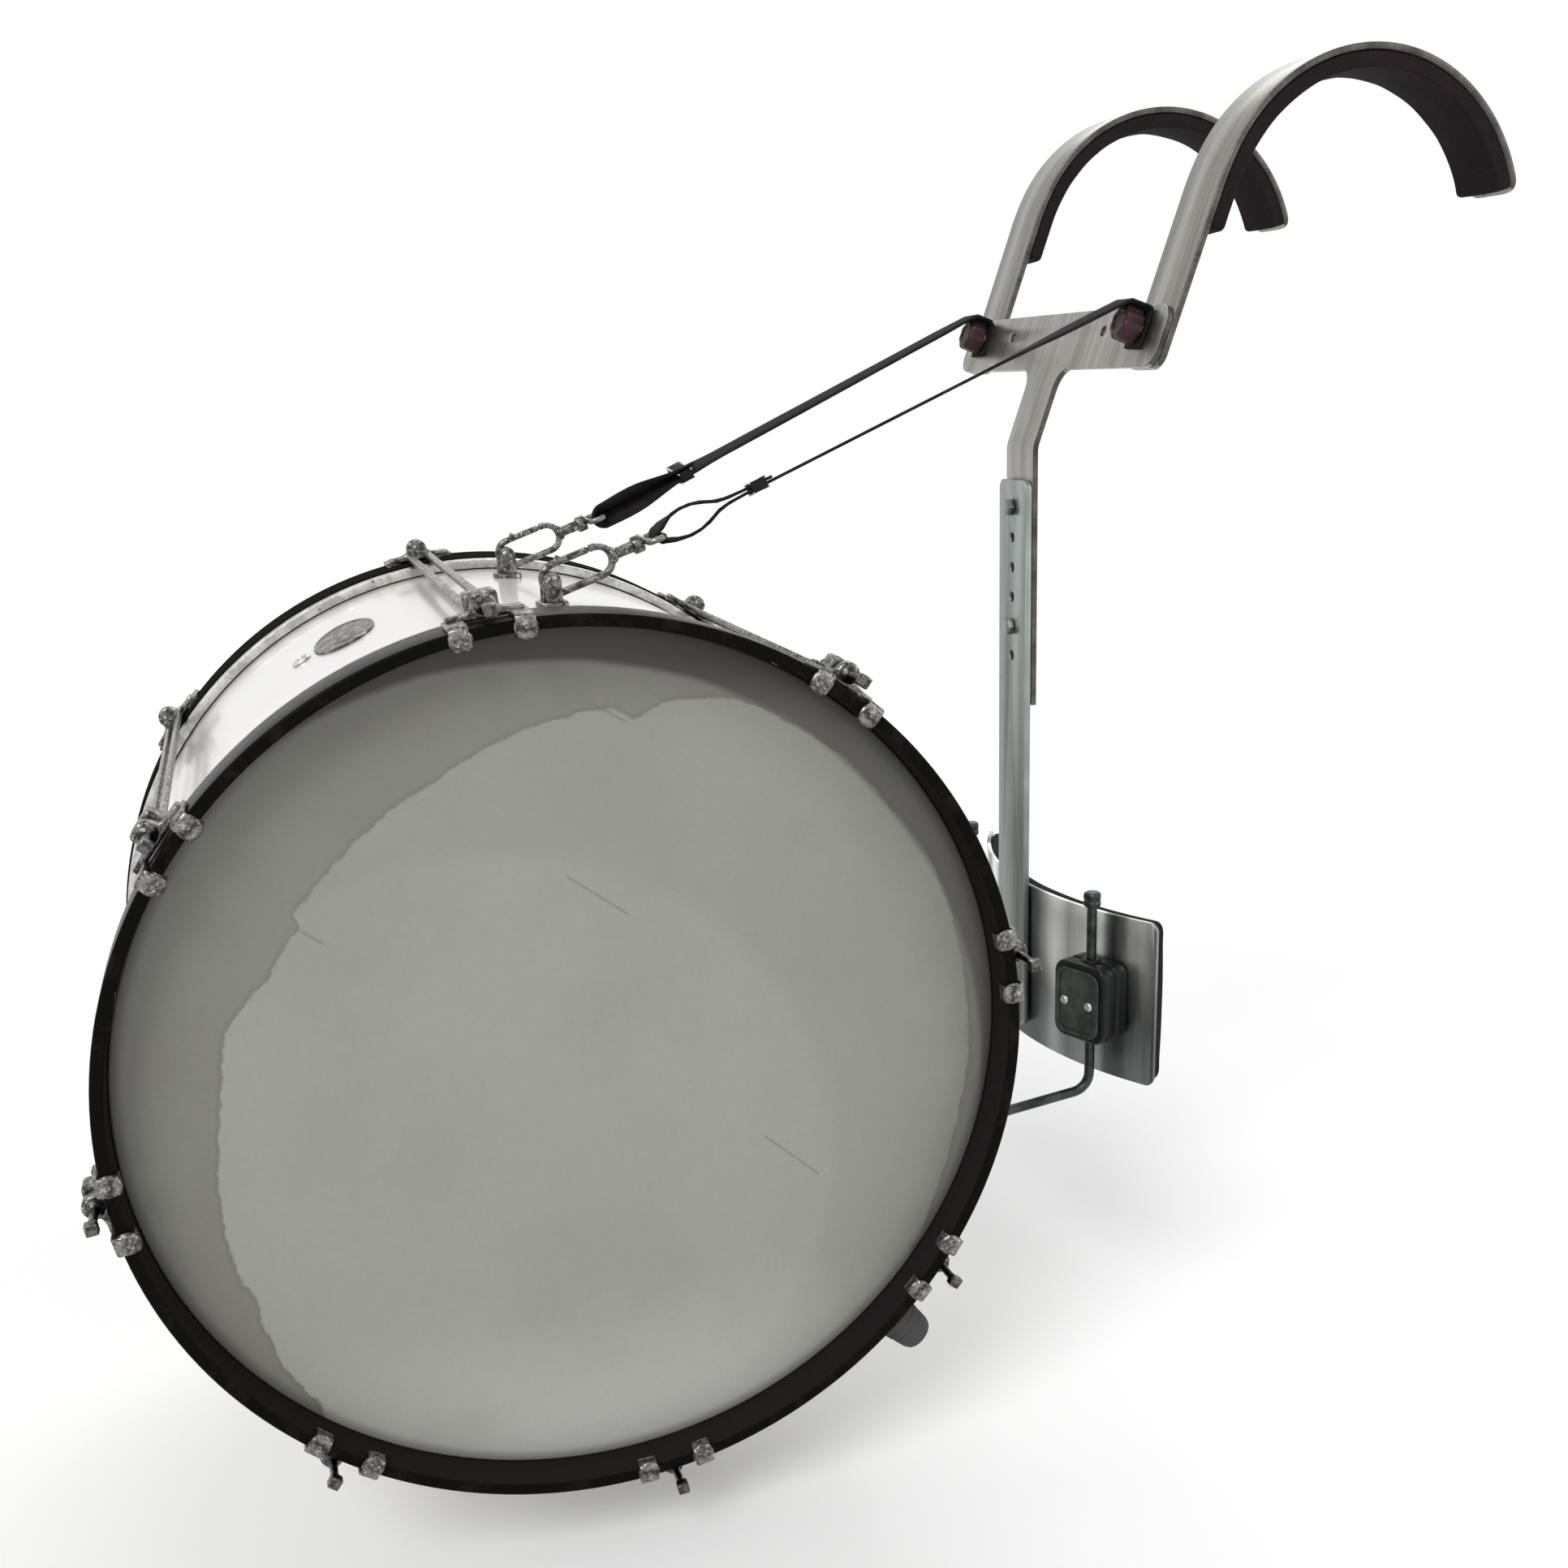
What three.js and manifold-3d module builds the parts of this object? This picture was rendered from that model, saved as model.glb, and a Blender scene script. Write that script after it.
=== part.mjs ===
// Marching bass drum worn on an aluminium shoulder carrier.
// Millimetres. X runs from the drum to the wearer, Y along the drum's axis (player's left to right), Z up.
// The origin is the middle of the wearer's shoulders, under the crests of the two shoulder pads.
import * as THREE from 'three';
import { mergeVertices } from 'three/addons/utils/BufferGeometryUtils.js';
import Module from 'manifold-3d';

const wasm = await Module();
wasm.setup();

// Fits and counts of facets shared by all pieces
const seatGap = 0.3;
const cutOverrun = 1;
const weldTolerance = 0.0001;
const drumSides = 64;
const roundSides = 16;
const smallSides = 8;
const curveSides = 4;
const cornerSides = 2;

// Shell
const shellDiameter = 508;
const shellWidth = 340;
const shellWall = 7;
const bearingBevel = 5;
const bearingRound = 1.5;

// Heads with their flesh hoops
const filmThickness = 0.6;
const fleshHoopThickness = 6.6;
const fleshHoopWidth = 11.7;

// Wooden hoops
const hoopThickness = 7.2;
const hoopWidth = 36;
const hoopProud = 25;
const hoopChamfer = 1.2;

// Tension units: a front claw, a key screw and a stirrup that hooks the back hoop
const tensionCount = 8;
const firstTensionAngle = 7.8;
const clawSpread = 35;
const clawWidth = 11;
const clawThickness = 2.6;
const clawLip = 6;
const clawNoseRadius = 7.2;
const clawSides = 8;
const clawReach = 26;
const yokeDepth = 9;
const yokeFoot = 4;
const yokeSide = 3.5;
const screwOffset = 8;
const hubRadius = 7;
const screwRadius = 3;
const screwBoreGap = 0.4;
const screwLength = 45;
const screwCollarRadius = 5.4;
const screwCollarHeight = 3;
const screwNeckRadius = 2.6;
const screwNeckHeight = 18;
const keyHeadSide = 6.8;
const keyHeadLength = 6.5;
const nutBlockLength = 13;
const nutBlockThickness = 12;
const nutBlockWidth = 19;
const nutBlockSetback = 14;
const strapBarWidth = 5;
const strapBarThickness = 3;
const strapBarInset = 4;

// Badge, vent and bumper
const badgeAngle = 113.3;
const badgeLength = 84;
const badgeHeight = 40;
const badgeThickness = 1.2;
const ventGap = 2.8;
const ventOffset = 3;
const ventRadius = 6.5;
const ventBore = 2.6;
const ventThickness = 2;
const bumperAngle = -46.6;
const bumperHeight = 29;
const bumperFootRadius = 15;
const bumperTipRadius = 11.5;
const bumperRound = 3.5;

// Strap brackets on the crown of the shell, with their snap hooks
const bracketForward = 14;
const bracketSpread = 176;
const bracketCheek = 2.6;
const bracketWidth = 13;
const bracketPinRise = 14;
const bracketPinRadius = 2.4;
const bracketFootLength = 30;
const bracketFootWidth = 22;
const bracketFootThickness = 3;
const snapThickness = 6;
const snapNoseRadius = 10.5;
const snapBar = 4;
const snapBow = 26;
const snapTilt = 19;
const snapShankRadius = 3.4;
const snapShankLength = 18;
const snapSwivelRadius = 5.2;
const snapSwivelLength = 6;
const snapGateStart = 1;
const snapGateThickness = 3.6;
const snapGateNub = 2;
const snapGateNubStart = 3;
const snapRingSlot = 23;
const snapRingGap = 6;
const snapRingBar = 3.6;

// Webbing straps
const webbingWidth = 20;
const webbingThickness = 1.8;
const nearLoopOpening = 11;
const farLoopOpening = 5;
const loopLength = 58;
const buckleLength = 15;
const buckleWidth = 25;
const buckleHeight = 8;
const strapTabDrop = 12;
const strapBendRadius = 2.4;

// Carrier bars
const barForward = 343.5;
const barWidth = 42;
const lowerBarThickness = 5;
const upperBarThickness = 4;
const lowerBarTop = 306;
const lowerBarBottom = -79;
const lowerBarRound = 6;
const upperBarBottom = 156;
const bendHeight = 328;
const bendRadius = 18;
const carrierLean = 20;
const barHoleTop = 288;
const barHolePitch = 20;
const barHoleCount = 6;
const barHoleRadius = 3.4;
const boltedHoleSteps = [0, 4];
const boltRadius = 3;
const boltHeadRadius = 5.8;
const boltHeadHeight = 4;
const boltNutHeight = 5;
const boltSides = 6;

// Chest plate, which is one blank with the upper bar
const plateRise = 51;
const plateHeight = 37;
const plateSpan = 290;
const plateCorner = 11;
const plateFillet = 13;
const plateCrown = 5;
const knobSpread = 234;
const knobRise = 74;
const knobStemRadius = 3;
const knobRadius = 11;
const knobLobe = 1.3;
const knobLobes = 8;
const knobHeight = 12;
const knobStemTip = 4;
const knobWasherRadius = 8;
const knobWasherHeight = 2;
const spareHoleStep = 49;

// Shoulder hooks and their foam
const hookSpread = 248;
const hookWidth = 42;
const hookThickness = 4;
const hookLeg = 107;
const hookKneeRadius = 160;
const hookKneeTurn = 8;
const hookArchRadius = 107;
const hookArchTurn = 138;
const hookFootDrop = 1;
const hookEndCorner = 9;
const cornerTurns = 3;
const hookRuns = 20;
const padThickness = 9;
const padStart = 84;
const padCrown = 1.6;
const padShoulderShare = 0.8;
const padEdge = 3.2;
const padRuns = 16;

// Belly plate with its foam
const bellyTop = 27;
const bellyHeight = 115;
const bellySpan = 270;
const bellyRadius = 258;
const bellyThickness = 3;
const bellyCorner = 6;
const bellyRuns = 14;
const bellyCutSides = 96;
const bellyFoamThickness = 10;
const bellyFoamInset = 1.5;
const bellyFoamEdge = 3;

// Rod clamps on the belly plate and the J-rods
const clampInset = 72.5;
const clampRise = -31;
const clampDepth = 24;
const clampWidth = 44;
const clampHeight = 54;
const clampCorner = 9;
const clampPlateWidth = 36;
const clampPlateHeight = 46;
const clampPlateThickness = 2;
const clampPlateCorner = 8;
const clampScrewRadius = 3.2;
const clampScrewHeight = 1.6;
const clampScrewSpacing = 18;
const rodRadius = 3.4;
const rodTop = 35;
const rodBendRadius = 13;
const rodElbowHeight = -96;
const rodLegDrop = 7;
const rodKnobRadius = 5.8;
const rodKnobHeight = 9;
const rodKnobRound = 2;
const socketDepth = 22;
const socketWall = 4.6;
const socketFloor = 5;
const socketFootLength = 44;
const socketFootWidth = 34;
const socketFootThickness = 4;

// Worked out from the driving sizes
const shellRadius = shellDiameter / 2;
const shellHalf = shellWidth / 2;
const collarInner = shellRadius + seatGap;
const collarOuter = collarInner + filmThickness;
const hoopInner = collarOuter + seatGap;
const hoopOuter = hoopInner + hoopThickness;
const hoopEdge = shellHalf + hoopProud;
const hoopSeat = hoopEdge - hoopWidth;
const screwCircle = hoopOuter + screwOffset;
const yokeFace = hoopEdge - clawReach + yokeDepth;
const clampSpread = shellWidth - 2 * clampInset;
const radians = THREE.MathUtils.degToRad;
const badgeTurn = radians(badgeAngle);
const ventTurn = badgeTurn + (badgeHeight / 2 + ventGap + ventRadius) / shellRadius;
const lean = radians(carrierLean);
const leanUp = new THREE.Vector3(Math.sin(lean), 0, Math.cos(lean));
const leanOut = new THREE.Vector3(-Math.cos(lean), 0, Math.sin(lean));
const acrossY = new THREE.Vector3(0, 1, 0);
const alongX = new THREE.Vector3(1, 0, 0);
const alongZ = new THREE.Vector3(0, 0, 1);
const upperBarBack = barForward + lowerBarThickness + seatGap + upperBarThickness;
const bendPoint = new THREE.Vector3(upperBarBack - upperBarThickness, 0, bendHeight);

// Finishes
const finishes = {
  paint: { color: 0xe8e6e2, roughness: 0.25, metalness: 0 },
  film: { color: 0xa3a59c, roughness: 0.75, metalness: 0 },
  lacquer: { color: 0x161412, roughness: 0.3, metalness: 0 },
  nickel: { color: 0xa8a39b, roughness: 0.3, metalness: 1 },
  steel: { color: 0x8c8c8a, roughness: 0.35, metalness: 1 },
  aluminium: { color: 0xa9aba9, roughness: 0.42, metalness: 1 },
  webbing: { color: 0x1a181a, roughness: 0.9, metalness: 0 },
  foam: { color: 0x1d181b, roughness: 0.95, metalness: 0 },
  rubber: { color: 0x191a1a, roughness: 0.7, metalness: 0 },
  plastic: { color: 0x2a2022, roughness: 0.5, metalness: 0 },
};

// Closed meshes and solids
function toSolid(geometry) {
  const bare = geometry.index ? geometry.toNonIndexed() : geometry.clone();
  bare.deleteAttribute('normal');
  bare.deleteAttribute('uv');
  const merged = mergeVertices(bare, weldTolerance);
  return new wasm.Manifold(new wasm.Mesh({
    numProp: 3,
    vertProperties: new Float32Array(merged.attributes.position.array),
    triVerts: new Uint32Array(merged.index.array),
  }));
}

function toGeometry(solid) {
  const mesh = solid.simplify(weldTolerance).getMesh();
  const geometry = new THREE.BufferGeometry();
  geometry.setAttribute('position', new THREE.BufferAttribute(new Float32Array(mesh.vertProperties), 3));
  geometry.setIndex(new THREE.BufferAttribute(new Uint32Array(mesh.triVerts), 1));
  geometry.computeVertexNormals();
  return geometry;
}

function joined(...solids) {
  return solids.reduce((sum, solid) => sum.add(solid));
}

function cut(body, ...tools) {
  return tools.reduce((rest, tool) => rest.subtract(tool), body);
}

// A matrix whose columns are the two directions of a drawing plane and its normal
function plane(origin, right, up) {
  const out = new THREE.Vector3().crossVectors(right, up);
  return new THREE.Matrix4().makeBasis(right, up, out).setPosition(origin);
}

// An outline drawn on a plane and extruded along its normal, centred on the plane when asked
function prism(outline, depth, matrix, centred = false, sides = roundSides) {
  const geometry = new THREE.ExtrudeGeometry(outline, { depth, bevelEnabled: false, curveSegments: sides });
  if (centred) geometry.translate(0, 0, -depth / 2);
  geometry.applyMatrix4(matrix);
  return toSolid(geometry);
}

// A closed profile of [radius, height] points turned about the Y axis
function turned(profile, sides = roundSides) {
  const points = profile.map(([radius, height]) => new THREE.Vector2(radius, height));
  const area = points.reduce((sum, point, i) => sum + point.cross(points[(i + 1) % points.length]), 0);
  if (area < 0) points.reverse();
  const onAxis = points.filter((point) => point.x === 0).length > 0;
  if (!onAxis) points.push(points[0].clone());
  return new THREE.LatheGeometry(points, sides);
}

function turnedAt(profile, origin, axis, sides = roundSides) {
  const geometry = turned(profile, sides);
  geometry.applyQuaternion(new THREE.Quaternion().setFromUnitVectors(acrossY, axis));
  geometry.translate(origin.x, origin.y, origin.z);
  return toSolid(geometry);
}

function rod(from, to, radius, sides = roundSides) {
  const axis = to.clone().sub(from);
  const length = axis.length();
  return turnedAt([[0, 0], [radius, 0], [radius, length], [0, length]], from, axis.normalize(), sides);
}

// Rings of equal point counts joined in order, with a fan over each end ring
function loft(rings) {
  const count = rings[0].length;
  const positions = [];
  const index = [];
  rings.forEach((ring) => ring.forEach((point) => positions.push(point.x, point.y, point.z)));
  for (let r = 0; r + 1 < rings.length; r += 1) {
    for (let i = 0; i < count; i += 1) {
      const a = r * count + i;
      const b = r * count + ((i + 1) % count);
      index.push(a, b, b + count, a, b + count, a + count);
    }
  }
  const last = (rings.length - 1) * count;
  for (let i = 1; i + 1 < count; i += 1) {
    index.push(0, i + 1, i);
    index.push(last, last + i, last + i + 1);
  }
  const geometry = new THREE.BufferGeometry();
  geometry.setAttribute('position', new THREE.Float32BufferAttribute(positions, 3));
  geometry.setIndex(index);
  const solid = toSolid(geometry);
  return solid.volume() < 0 ? toSolid(flipped(geometry)) : solid;
}

function flipped(geometry) {
  const order = Array.from(geometry.index.array);
  for (let i = 0; i < order.length; i += 3) [order[i], order[i + 1]] = [order[i + 1], order[i]];
  geometry.setIndex(order);
  return geometry;
}

function roundedRectangle(width, height, corner) {
  const shape = new THREE.Shape();
  const w = width / 2;
  const h = height / 2;
  shape.moveTo(-w + corner, -h);
  shape.lineTo(w - corner, -h);
  shape.absarc(w - corner, -h + corner, corner, -Math.PI / 2, 0);
  shape.lineTo(w, h - corner);
  shape.absarc(w - corner, h - corner, corner, 0, Math.PI / 2);
  shape.lineTo(-w + corner, h);
  shape.absarc(-w + corner, h - corner, corner, Math.PI / 2, Math.PI);
  shape.lineTo(-w, -h + corner);
  shape.absarc(-w + corner, -h + corner, corner, Math.PI, 1.5 * Math.PI);
  return shape;
}

function rectangle(width, height) {
  const w = width / 2;
  const h = height / 2;
  return new THREE.Shape([[-w, -h], [w, -h], [w, h], [-w, h]].map(([x, y]) => new THREE.Vector2(x, y)));
}

function circleHole(x, y, radius) {
  const rim = [];
  for (let i = 0; i < smallSides; i += 1) {
    const angle = -2 * Math.PI * i / smallSides;
    rim.push(new THREE.Vector2(x + radius * Math.cos(angle), y + radius * Math.sin(angle)));
  }
  return new THREE.Path(rim);
}

const root = new THREE.Group();
const placed = new THREE.Group();
root.add(placed);

function addPiece(name, solid, finish, turn = 0) {
  const mesh = new THREE.Mesh(toGeometry(solid), new THREE.MeshStandardMaterial(finishes[finish]));
  mesh.name = name;
  mesh.rotation.y = -radians(turn);
  placed.add(mesh);
}

// Shell, heads and hoops, all turned about the drum's axis with the same facets
function shellSolid() {
  const inner = shellRadius - shellWall;
  return toSolid(turned([
    [inner, -shellHalf + bearingBevel],
    [shellRadius - bearingRound, -shellHalf],
    [shellRadius, -shellHalf + bearingRound],
    [shellRadius, shellHalf - bearingRound],
    [shellRadius - bearingRound, shellHalf],
    [inner, shellHalf - bearingBevel],
  ], drumSides));
}

function headSolid(side) {
  const film = shellHalf + seatGap;
  const outer = film + filmThickness;
  const shoulder = bearingRound;
  const seat = hoopSeat - seatGap;
  const rim = seat - fleshHoopWidth;
  return toSolid(turned([
    [0, side * outer],
    [collarOuter - shoulder, side * outer],
    [collarOuter, side * (outer - shoulder)],
    [collarOuter, side * seat],
    [collarInner + fleshHoopThickness, side * seat],
    [collarInner + fleshHoopThickness, side * rim],
    [collarInner, side * rim],
    [collarInner, side * (film - shoulder)],
    [collarInner - shoulder, side * film],
    [0, side * film],
  ], drumSides));
}

function hoopSolid(side) {
  return toSolid(turned([
    [hoopInner, side * hoopSeat],
    [hoopOuter, side * hoopSeat],
    [hoopOuter, side * (hoopEdge - hoopChamfer)],
    [hoopOuter - hoopChamfer, side * hoopEdge],
    [hoopInner + hoopChamfer, side * hoopEdge],
    [hoopInner, side * (hoopEdge - hoopChamfer)],
  ], drumSides));
}

// One hook of a claw, drawn in the plane of the drum's radius and axis and bent over the hoop's edge
function clawHook(side, turn) {
  const inner = hoopInner * Math.cos(Math.PI / drumSides) - seatGap;
  const outer = hoopOuter + seatGap;
  const front = hoopEdge + seatGap;
  const face = front + clawThickness;
  const outline = new THREE.Shape([
    [inner - clawThickness, front - clawLip],
    [inner - clawThickness, face],
    [outer + clawThickness, face],
    [outer + clawThickness, hoopEdge - clawReach],
    [outer, hoopEdge - clawReach],
    [outer, front],
    [inner, front],
    [inner, front - clawLip],
  ].map(([radius, depth]) => new THREE.Vector2(radius, side * depth)));
  const strip = prism(outline, clawWidth, plane(new THREE.Vector3(), alongX, acrossY), true);
  const nose = new THREE.Vector3((hoopInner + hoopOuter) / 2, side * front, 0);
  const axis = new THREE.Vector3(0, side, 0);
  const disc = turnedAt([
    [0, 0],
    [clawNoseRadius, 0],
    [clawNoseRadius, clawThickness],
    [0, clawThickness],
  ], nose, axis, clawSides);
  return joined(strip, disc).rotate([0, -turn, 0]);
}

// The bridge that joins two hooks and rises to the screw's hub
function yoke(side, bored) {
  const half = clawSpread / 2 + yokeSide;
  const foot = hoopOuter + 2 * seatGap;
  const shape = new THREE.Shape();
  shape.moveTo(foot, -half);
  shape.lineTo(foot + yokeFoot, -half);
  shape.quadraticCurveTo(screwCircle - hubRadius / 2, -hubRadius, screwCircle, -hubRadius);
  shape.absarc(screwCircle, 0, hubRadius, -Math.PI / 2, Math.PI / 2);
  shape.quadraticCurveTo(screwCircle - hubRadius / 2, hubRadius, foot + yokeFoot, half);
  shape.lineTo(foot, half);
  shape.closePath();
  if (bored) shape.holes.push(circleHole(screwCircle, 0, screwRadius + screwBoreGap));
  const start = side > 0 ? yokeFace : -(yokeFace - yokeDepth);
  return prism(shape, yokeDepth, plane(new THREE.Vector3(0, start, 0), alongX, alongZ), false, cornerSides);
}

function claw(side, bored) {
  const turn = THREE.MathUtils.radToDeg(Math.asin(clawSpread / 2 / hoopOuter));
  return joined(yoke(side, bored), clawHook(side, turn), clawHook(side, -turn));
}

// The stirrup's two flat bars run from the back claw to the nut block behind the front claw
function stirrup() {
  const blockFront = -(yokeFace - yokeDepth) + nutBlockSetback;
  const blockMiddle = new THREE.Vector3(screwCircle, blockFront, 0);
  const bore = screwRadius + screwBoreGap;
  const block = roundedRectangle(nutBlockWidth, nutBlockThickness, nutBlockThickness / 4);
  block.holes.push(circleHole(0, 0, bore));
  const backward = plane(blockMiddle, alongZ, alongX);
  const pieces = [claw(1, false), prism(block, nutBlockLength, backward, false, 1)];
  for (const half of [-1, 1]) {
    const middle = half * (bore + strapBarWidth / 2);
    const section = rectangle(strapBarWidth, strapBarThickness);
    const start = new THREE.Vector3(screwCircle - strapBarInset, blockFront + nutBlockLength / 2, middle);
    const length = yokeFace - yokeDepth / 2 - start.y;
    pieces.push(prism(section, length, plane(start, alongZ, alongX)));
  }
  return joined(...pieces);
}

// The key screw: its thin neck brings a square head in front of the hoop, where a drum key turns it
function keyScrew() {
  const seat = -(yokeFace + seatGap);
  const origin = new THREE.Vector3(screwCircle, seat, 0);
  const neck = screwCollarHeight + screwNeckHeight;
  const body = turnedAt([
    [0, -screwLength],
    [screwRadius, -screwLength],
    [screwRadius, 0],
    [screwCollarRadius, 0],
    [screwCollarRadius, screwCollarHeight],
    [screwNeckRadius, screwCollarHeight],
    [screwNeckRadius, neck + keyHeadLength / 2],
    [0, neck + keyHeadLength / 2],
  ], origin, new THREE.Vector3(0, -1, 0), smallSides);
  const start = new THREE.Vector3(screwCircle, seat - neck, 0);
  const head = prism(rectangle(keyHeadSide, keyHeadSide), keyHeadLength, plane(start, alongX, alongZ));
  return joined(body, head);
}

// A round band about the drum's axis, for pieces that lie on the shell or hoop
function band(inner, outer, halfWidth) {
  return toSolid(turned([
    [inner, -halfWidth],
    [outer, -halfWidth],
    [outer, halfWidth],
    [inner, halfWidth],
  ], drumSides));
}

function drumCore(radius) {
  const half = hoopEdge + cutOverrun;
  return toSolid(turned([[0, -half], [radius, -half], [radius, half], [0, half]], drumSides));
}

// An oval badge bent to the shell, with the air vent beside it
function badge() {
  const outline = new THREE.Shape();
  outline.absellipse(0, 0, badgeHeight / 2, badgeLength / 2, 0, 2 * Math.PI);
  const out = new THREE.Vector3(Math.cos(badgeTurn), 0, Math.sin(badgeTurn));
  const right = new THREE.Vector3().crossVectors(acrossY, out);
  const flat = plane(new THREE.Vector3(), right, acrossY);
  const stem = prism(outline, shellDiameter, flat, false, roundSides / 2);
  const lower = shellRadius + seatGap;
  return band(lower, lower + badgeThickness, badgeLength).intersect(stem);
}

function vent() {
  const out = new THREE.Vector3(Math.cos(ventTurn), 0, Math.sin(ventTurn));
  const seat = shellRadius + seatGap;
  const foot = out.clone().multiplyScalar(seat).setY(-ventOffset);
  return turnedAt([
    [ventBore, 0],
    [ventRadius, 0],
    [ventRadius, ventThickness / 2],
    [ventRadius - ventThickness / 2, ventThickness],
    [ventBore, ventThickness],
  ], foot, out, roundSides);
}

// The rubber bumper stands on the front hoop, towards the wearer's thigh
function bumper() {
  const angle = radians(bumperAngle);
  const out = new THREE.Vector3(Math.cos(angle), 0, Math.sin(angle));
  const middle = -(hoopSeat + hoopEdge) / 2;
  const origin = out.clone().multiplyScalar(hoopOuter - hoopThickness / 2).setY(middle);
  const top = bumperHeight + hoopThickness / 2;
  const cone = turnedAt([
    [0, 0],
    [bumperFootRadius, 0],
    [bumperTipRadius, top - bumperRound],
    [bumperTipRadius - bumperRound, top],
    [0, top],
  ], origin, out, roundSides);
  return cut(cone, drumCore(hoopOuter + seatGap));
}

// Strap bracket: a foot on the shell, two cheeks and a cross pin
function bracketPin(side) {
  return new THREE.Vector3(bracketForward, side * bracketSpread / 2, shellRadius + bracketPinRise);
}

function strapBracket(side) {
  const pin = bracketPin(side);
  const inside = snapThickness / 2 + seatGap;
  const low = new THREE.Vector3(pin.x, pin.y, shellRadius - bracketFootThickness);
  const foot = prism(
    roundedRectangle(bracketFootLength, bracketFootWidth, bracketFootWidth / 4),
    2 * bracketFootThickness,
    plane(low, alongX, acrossY),
    false,
    smallSides / 2,
  );
  const pieces = [foot];
  for (const half of [-1, 1]) {
    const cheek = new THREE.Shape();
    cheek.moveTo(-bracketWidth / 2, low.z - pin.z);
    cheek.lineTo(bracketWidth / 2, low.z - pin.z);
    cheek.lineTo(bracketWidth / 2, 0);
    cheek.absarc(0, 0, bracketWidth / 2, 0, Math.PI);
    cheek.closePath();
    const face = pin.y + half * (inside + bracketCheek / 2);
    const at = plane(new THREE.Vector3(pin.x, face, pin.z), alongX, alongZ);
    pieces.push(prism(cheek, bracketCheek, at, true, smallSides / 2));
  }
  const reach = inside + bracketCheek / 2;
  const from = pin.clone().setY(pin.y - reach);
  const to = pin.clone().setY(pin.y + reach);
  pieces.push(rod(from, to, bracketPinRadius, smallSides));
  return cut(joined(...pieces), drumCore(shellRadius + seatGap));
}

// Snap hook: a long bow round the bracket's pin, a sprung gate, a shank and a ring for the webbing
const snapDirection = new THREE.Vector3(Math.cos(radians(snapTilt)), 0, Math.sin(radians(snapTilt)));
const snapNormal = new THREE.Vector3(-Math.sin(radians(snapTilt)), 0, Math.cos(radians(snapTilt)));
const snapPinShift = snapNoseRadius - snapBar - bracketPinRadius - seatGap;
const snapRingStart = snapBow + snapNoseRadius + snapShankLength;
const snapRingMiddle = snapRingStart + snapRingBar + snapRingGap / 2;
const snapGateEnd = snapBow - snapBar / 2;

function snapOrigin(side) {
  return bracketPin(side).addScaledVector(snapDirection, snapPinShift);
}

function slotOutline(start, end, radius) {
  const shape = new THREE.Shape();
  shape.moveTo(start, -radius);
  shape.lineTo(end, -radius);
  shape.absarc(end, 0, radius, -Math.PI / 2, Math.PI / 2);
  shape.lineTo(start, radius);
  shape.absarc(start, 0, radius, Math.PI / 2, 1.5 * Math.PI);
  return shape;
}

function snapHook(side) {
  const origin = snapOrigin(side);
  const flat = plane(origin, snapDirection, snapNormal);
  const bow = slotOutline(0, snapBow, snapNoseRadius);
  bow.holes.push(slotOutline(0, snapBow, snapNoseRadius - snapBar));
  const gateRoom = new THREE.Shape([
    new THREE.Vector2(snapGateStart, snapNoseRadius - snapBar - cutOverrun),
    new THREE.Vector2(snapGateEnd, snapNoseRadius - snapBar - cutOverrun),
    new THREE.Vector2(snapGateEnd, snapNoseRadius + cutOverrun),
    new THREE.Vector2(snapGateStart, snapNoseRadius + cutOverrun),
  ]);
  const opened = cut(
    prism(bow, snapThickness, flat, true, curveSides),
    prism(gateRoom, snapThickness + cutOverrun, flat, true),
  );
  const along = (distance) => origin.clone().addScaledVector(snapDirection, distance);
  const neck = snapBow + snapNoseRadius - snapBar / 2;
  const shank = rod(along(neck), along(snapRingStart + snapRingBar / 2), snapShankRadius, smallSides);
  const swivelStart = snapRingStart - snapSwivelLength;
  const swivel = rod(along(swivelStart), along(snapRingStart + seatGap), snapSwivelRadius, smallSides);
  const ringOutline = roundedRectangle(
    snapRingGap + 2 * snapRingBar,
    snapRingSlot + 2 * snapRingBar,
    snapRingBar,
  );
  ringOutline.holes.push(roundedRectangle(snapRingGap, snapRingSlot, snapRingGap / 4));
  const across = plane(along(snapRingMiddle), snapDirection, acrossY);
  const ring = prism(ringOutline, snapRingBar, across, true, cornerSides);
  return joined(opened, shank, swivel, ring);
}

// The gate swings into the bow about the round end by the shank
function snapGate(side) {
  const flat = plane(snapOrigin(side), snapDirection, snapNormal);
  const middle = snapNoseRadius - snapBar / 2;
  const low = middle - snapGateThickness / 2;
  const high = middle + snapGateThickness / 2;
  const pivot = snapGateEnd - seatGap - snapGateThickness / 2;
  const shape = new THREE.Shape();
  shape.moveTo(snapGateStart + seatGap, low);
  shape.lineTo(pivot, low);
  shape.absarc(pivot, middle, snapGateThickness / 2, -Math.PI / 2, Math.PI / 2);
  shape.lineTo(snapGateNubStart + 2 * snapGateNub, high);
  shape.lineTo(snapGateNubStart + snapGateNub, high + snapGateNub);
  shape.lineTo(snapGateNubStart, high);
  shape.lineTo(snapGateStart + seatGap, high);
  return prism(shape, snapThickness - 2 * seatGap, flat, true, curveSides);
}

// Where a strap knob's axis meets the front of the chest plate, and how far the knob stands out
const knobReach = seatGap + knobWasherHeight + knobHeight;

function knobPoint(side) {
  return bendPoint.clone().addScaledVector(leanUp, knobRise).setY(side * knobSpread / 2);
}

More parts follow.
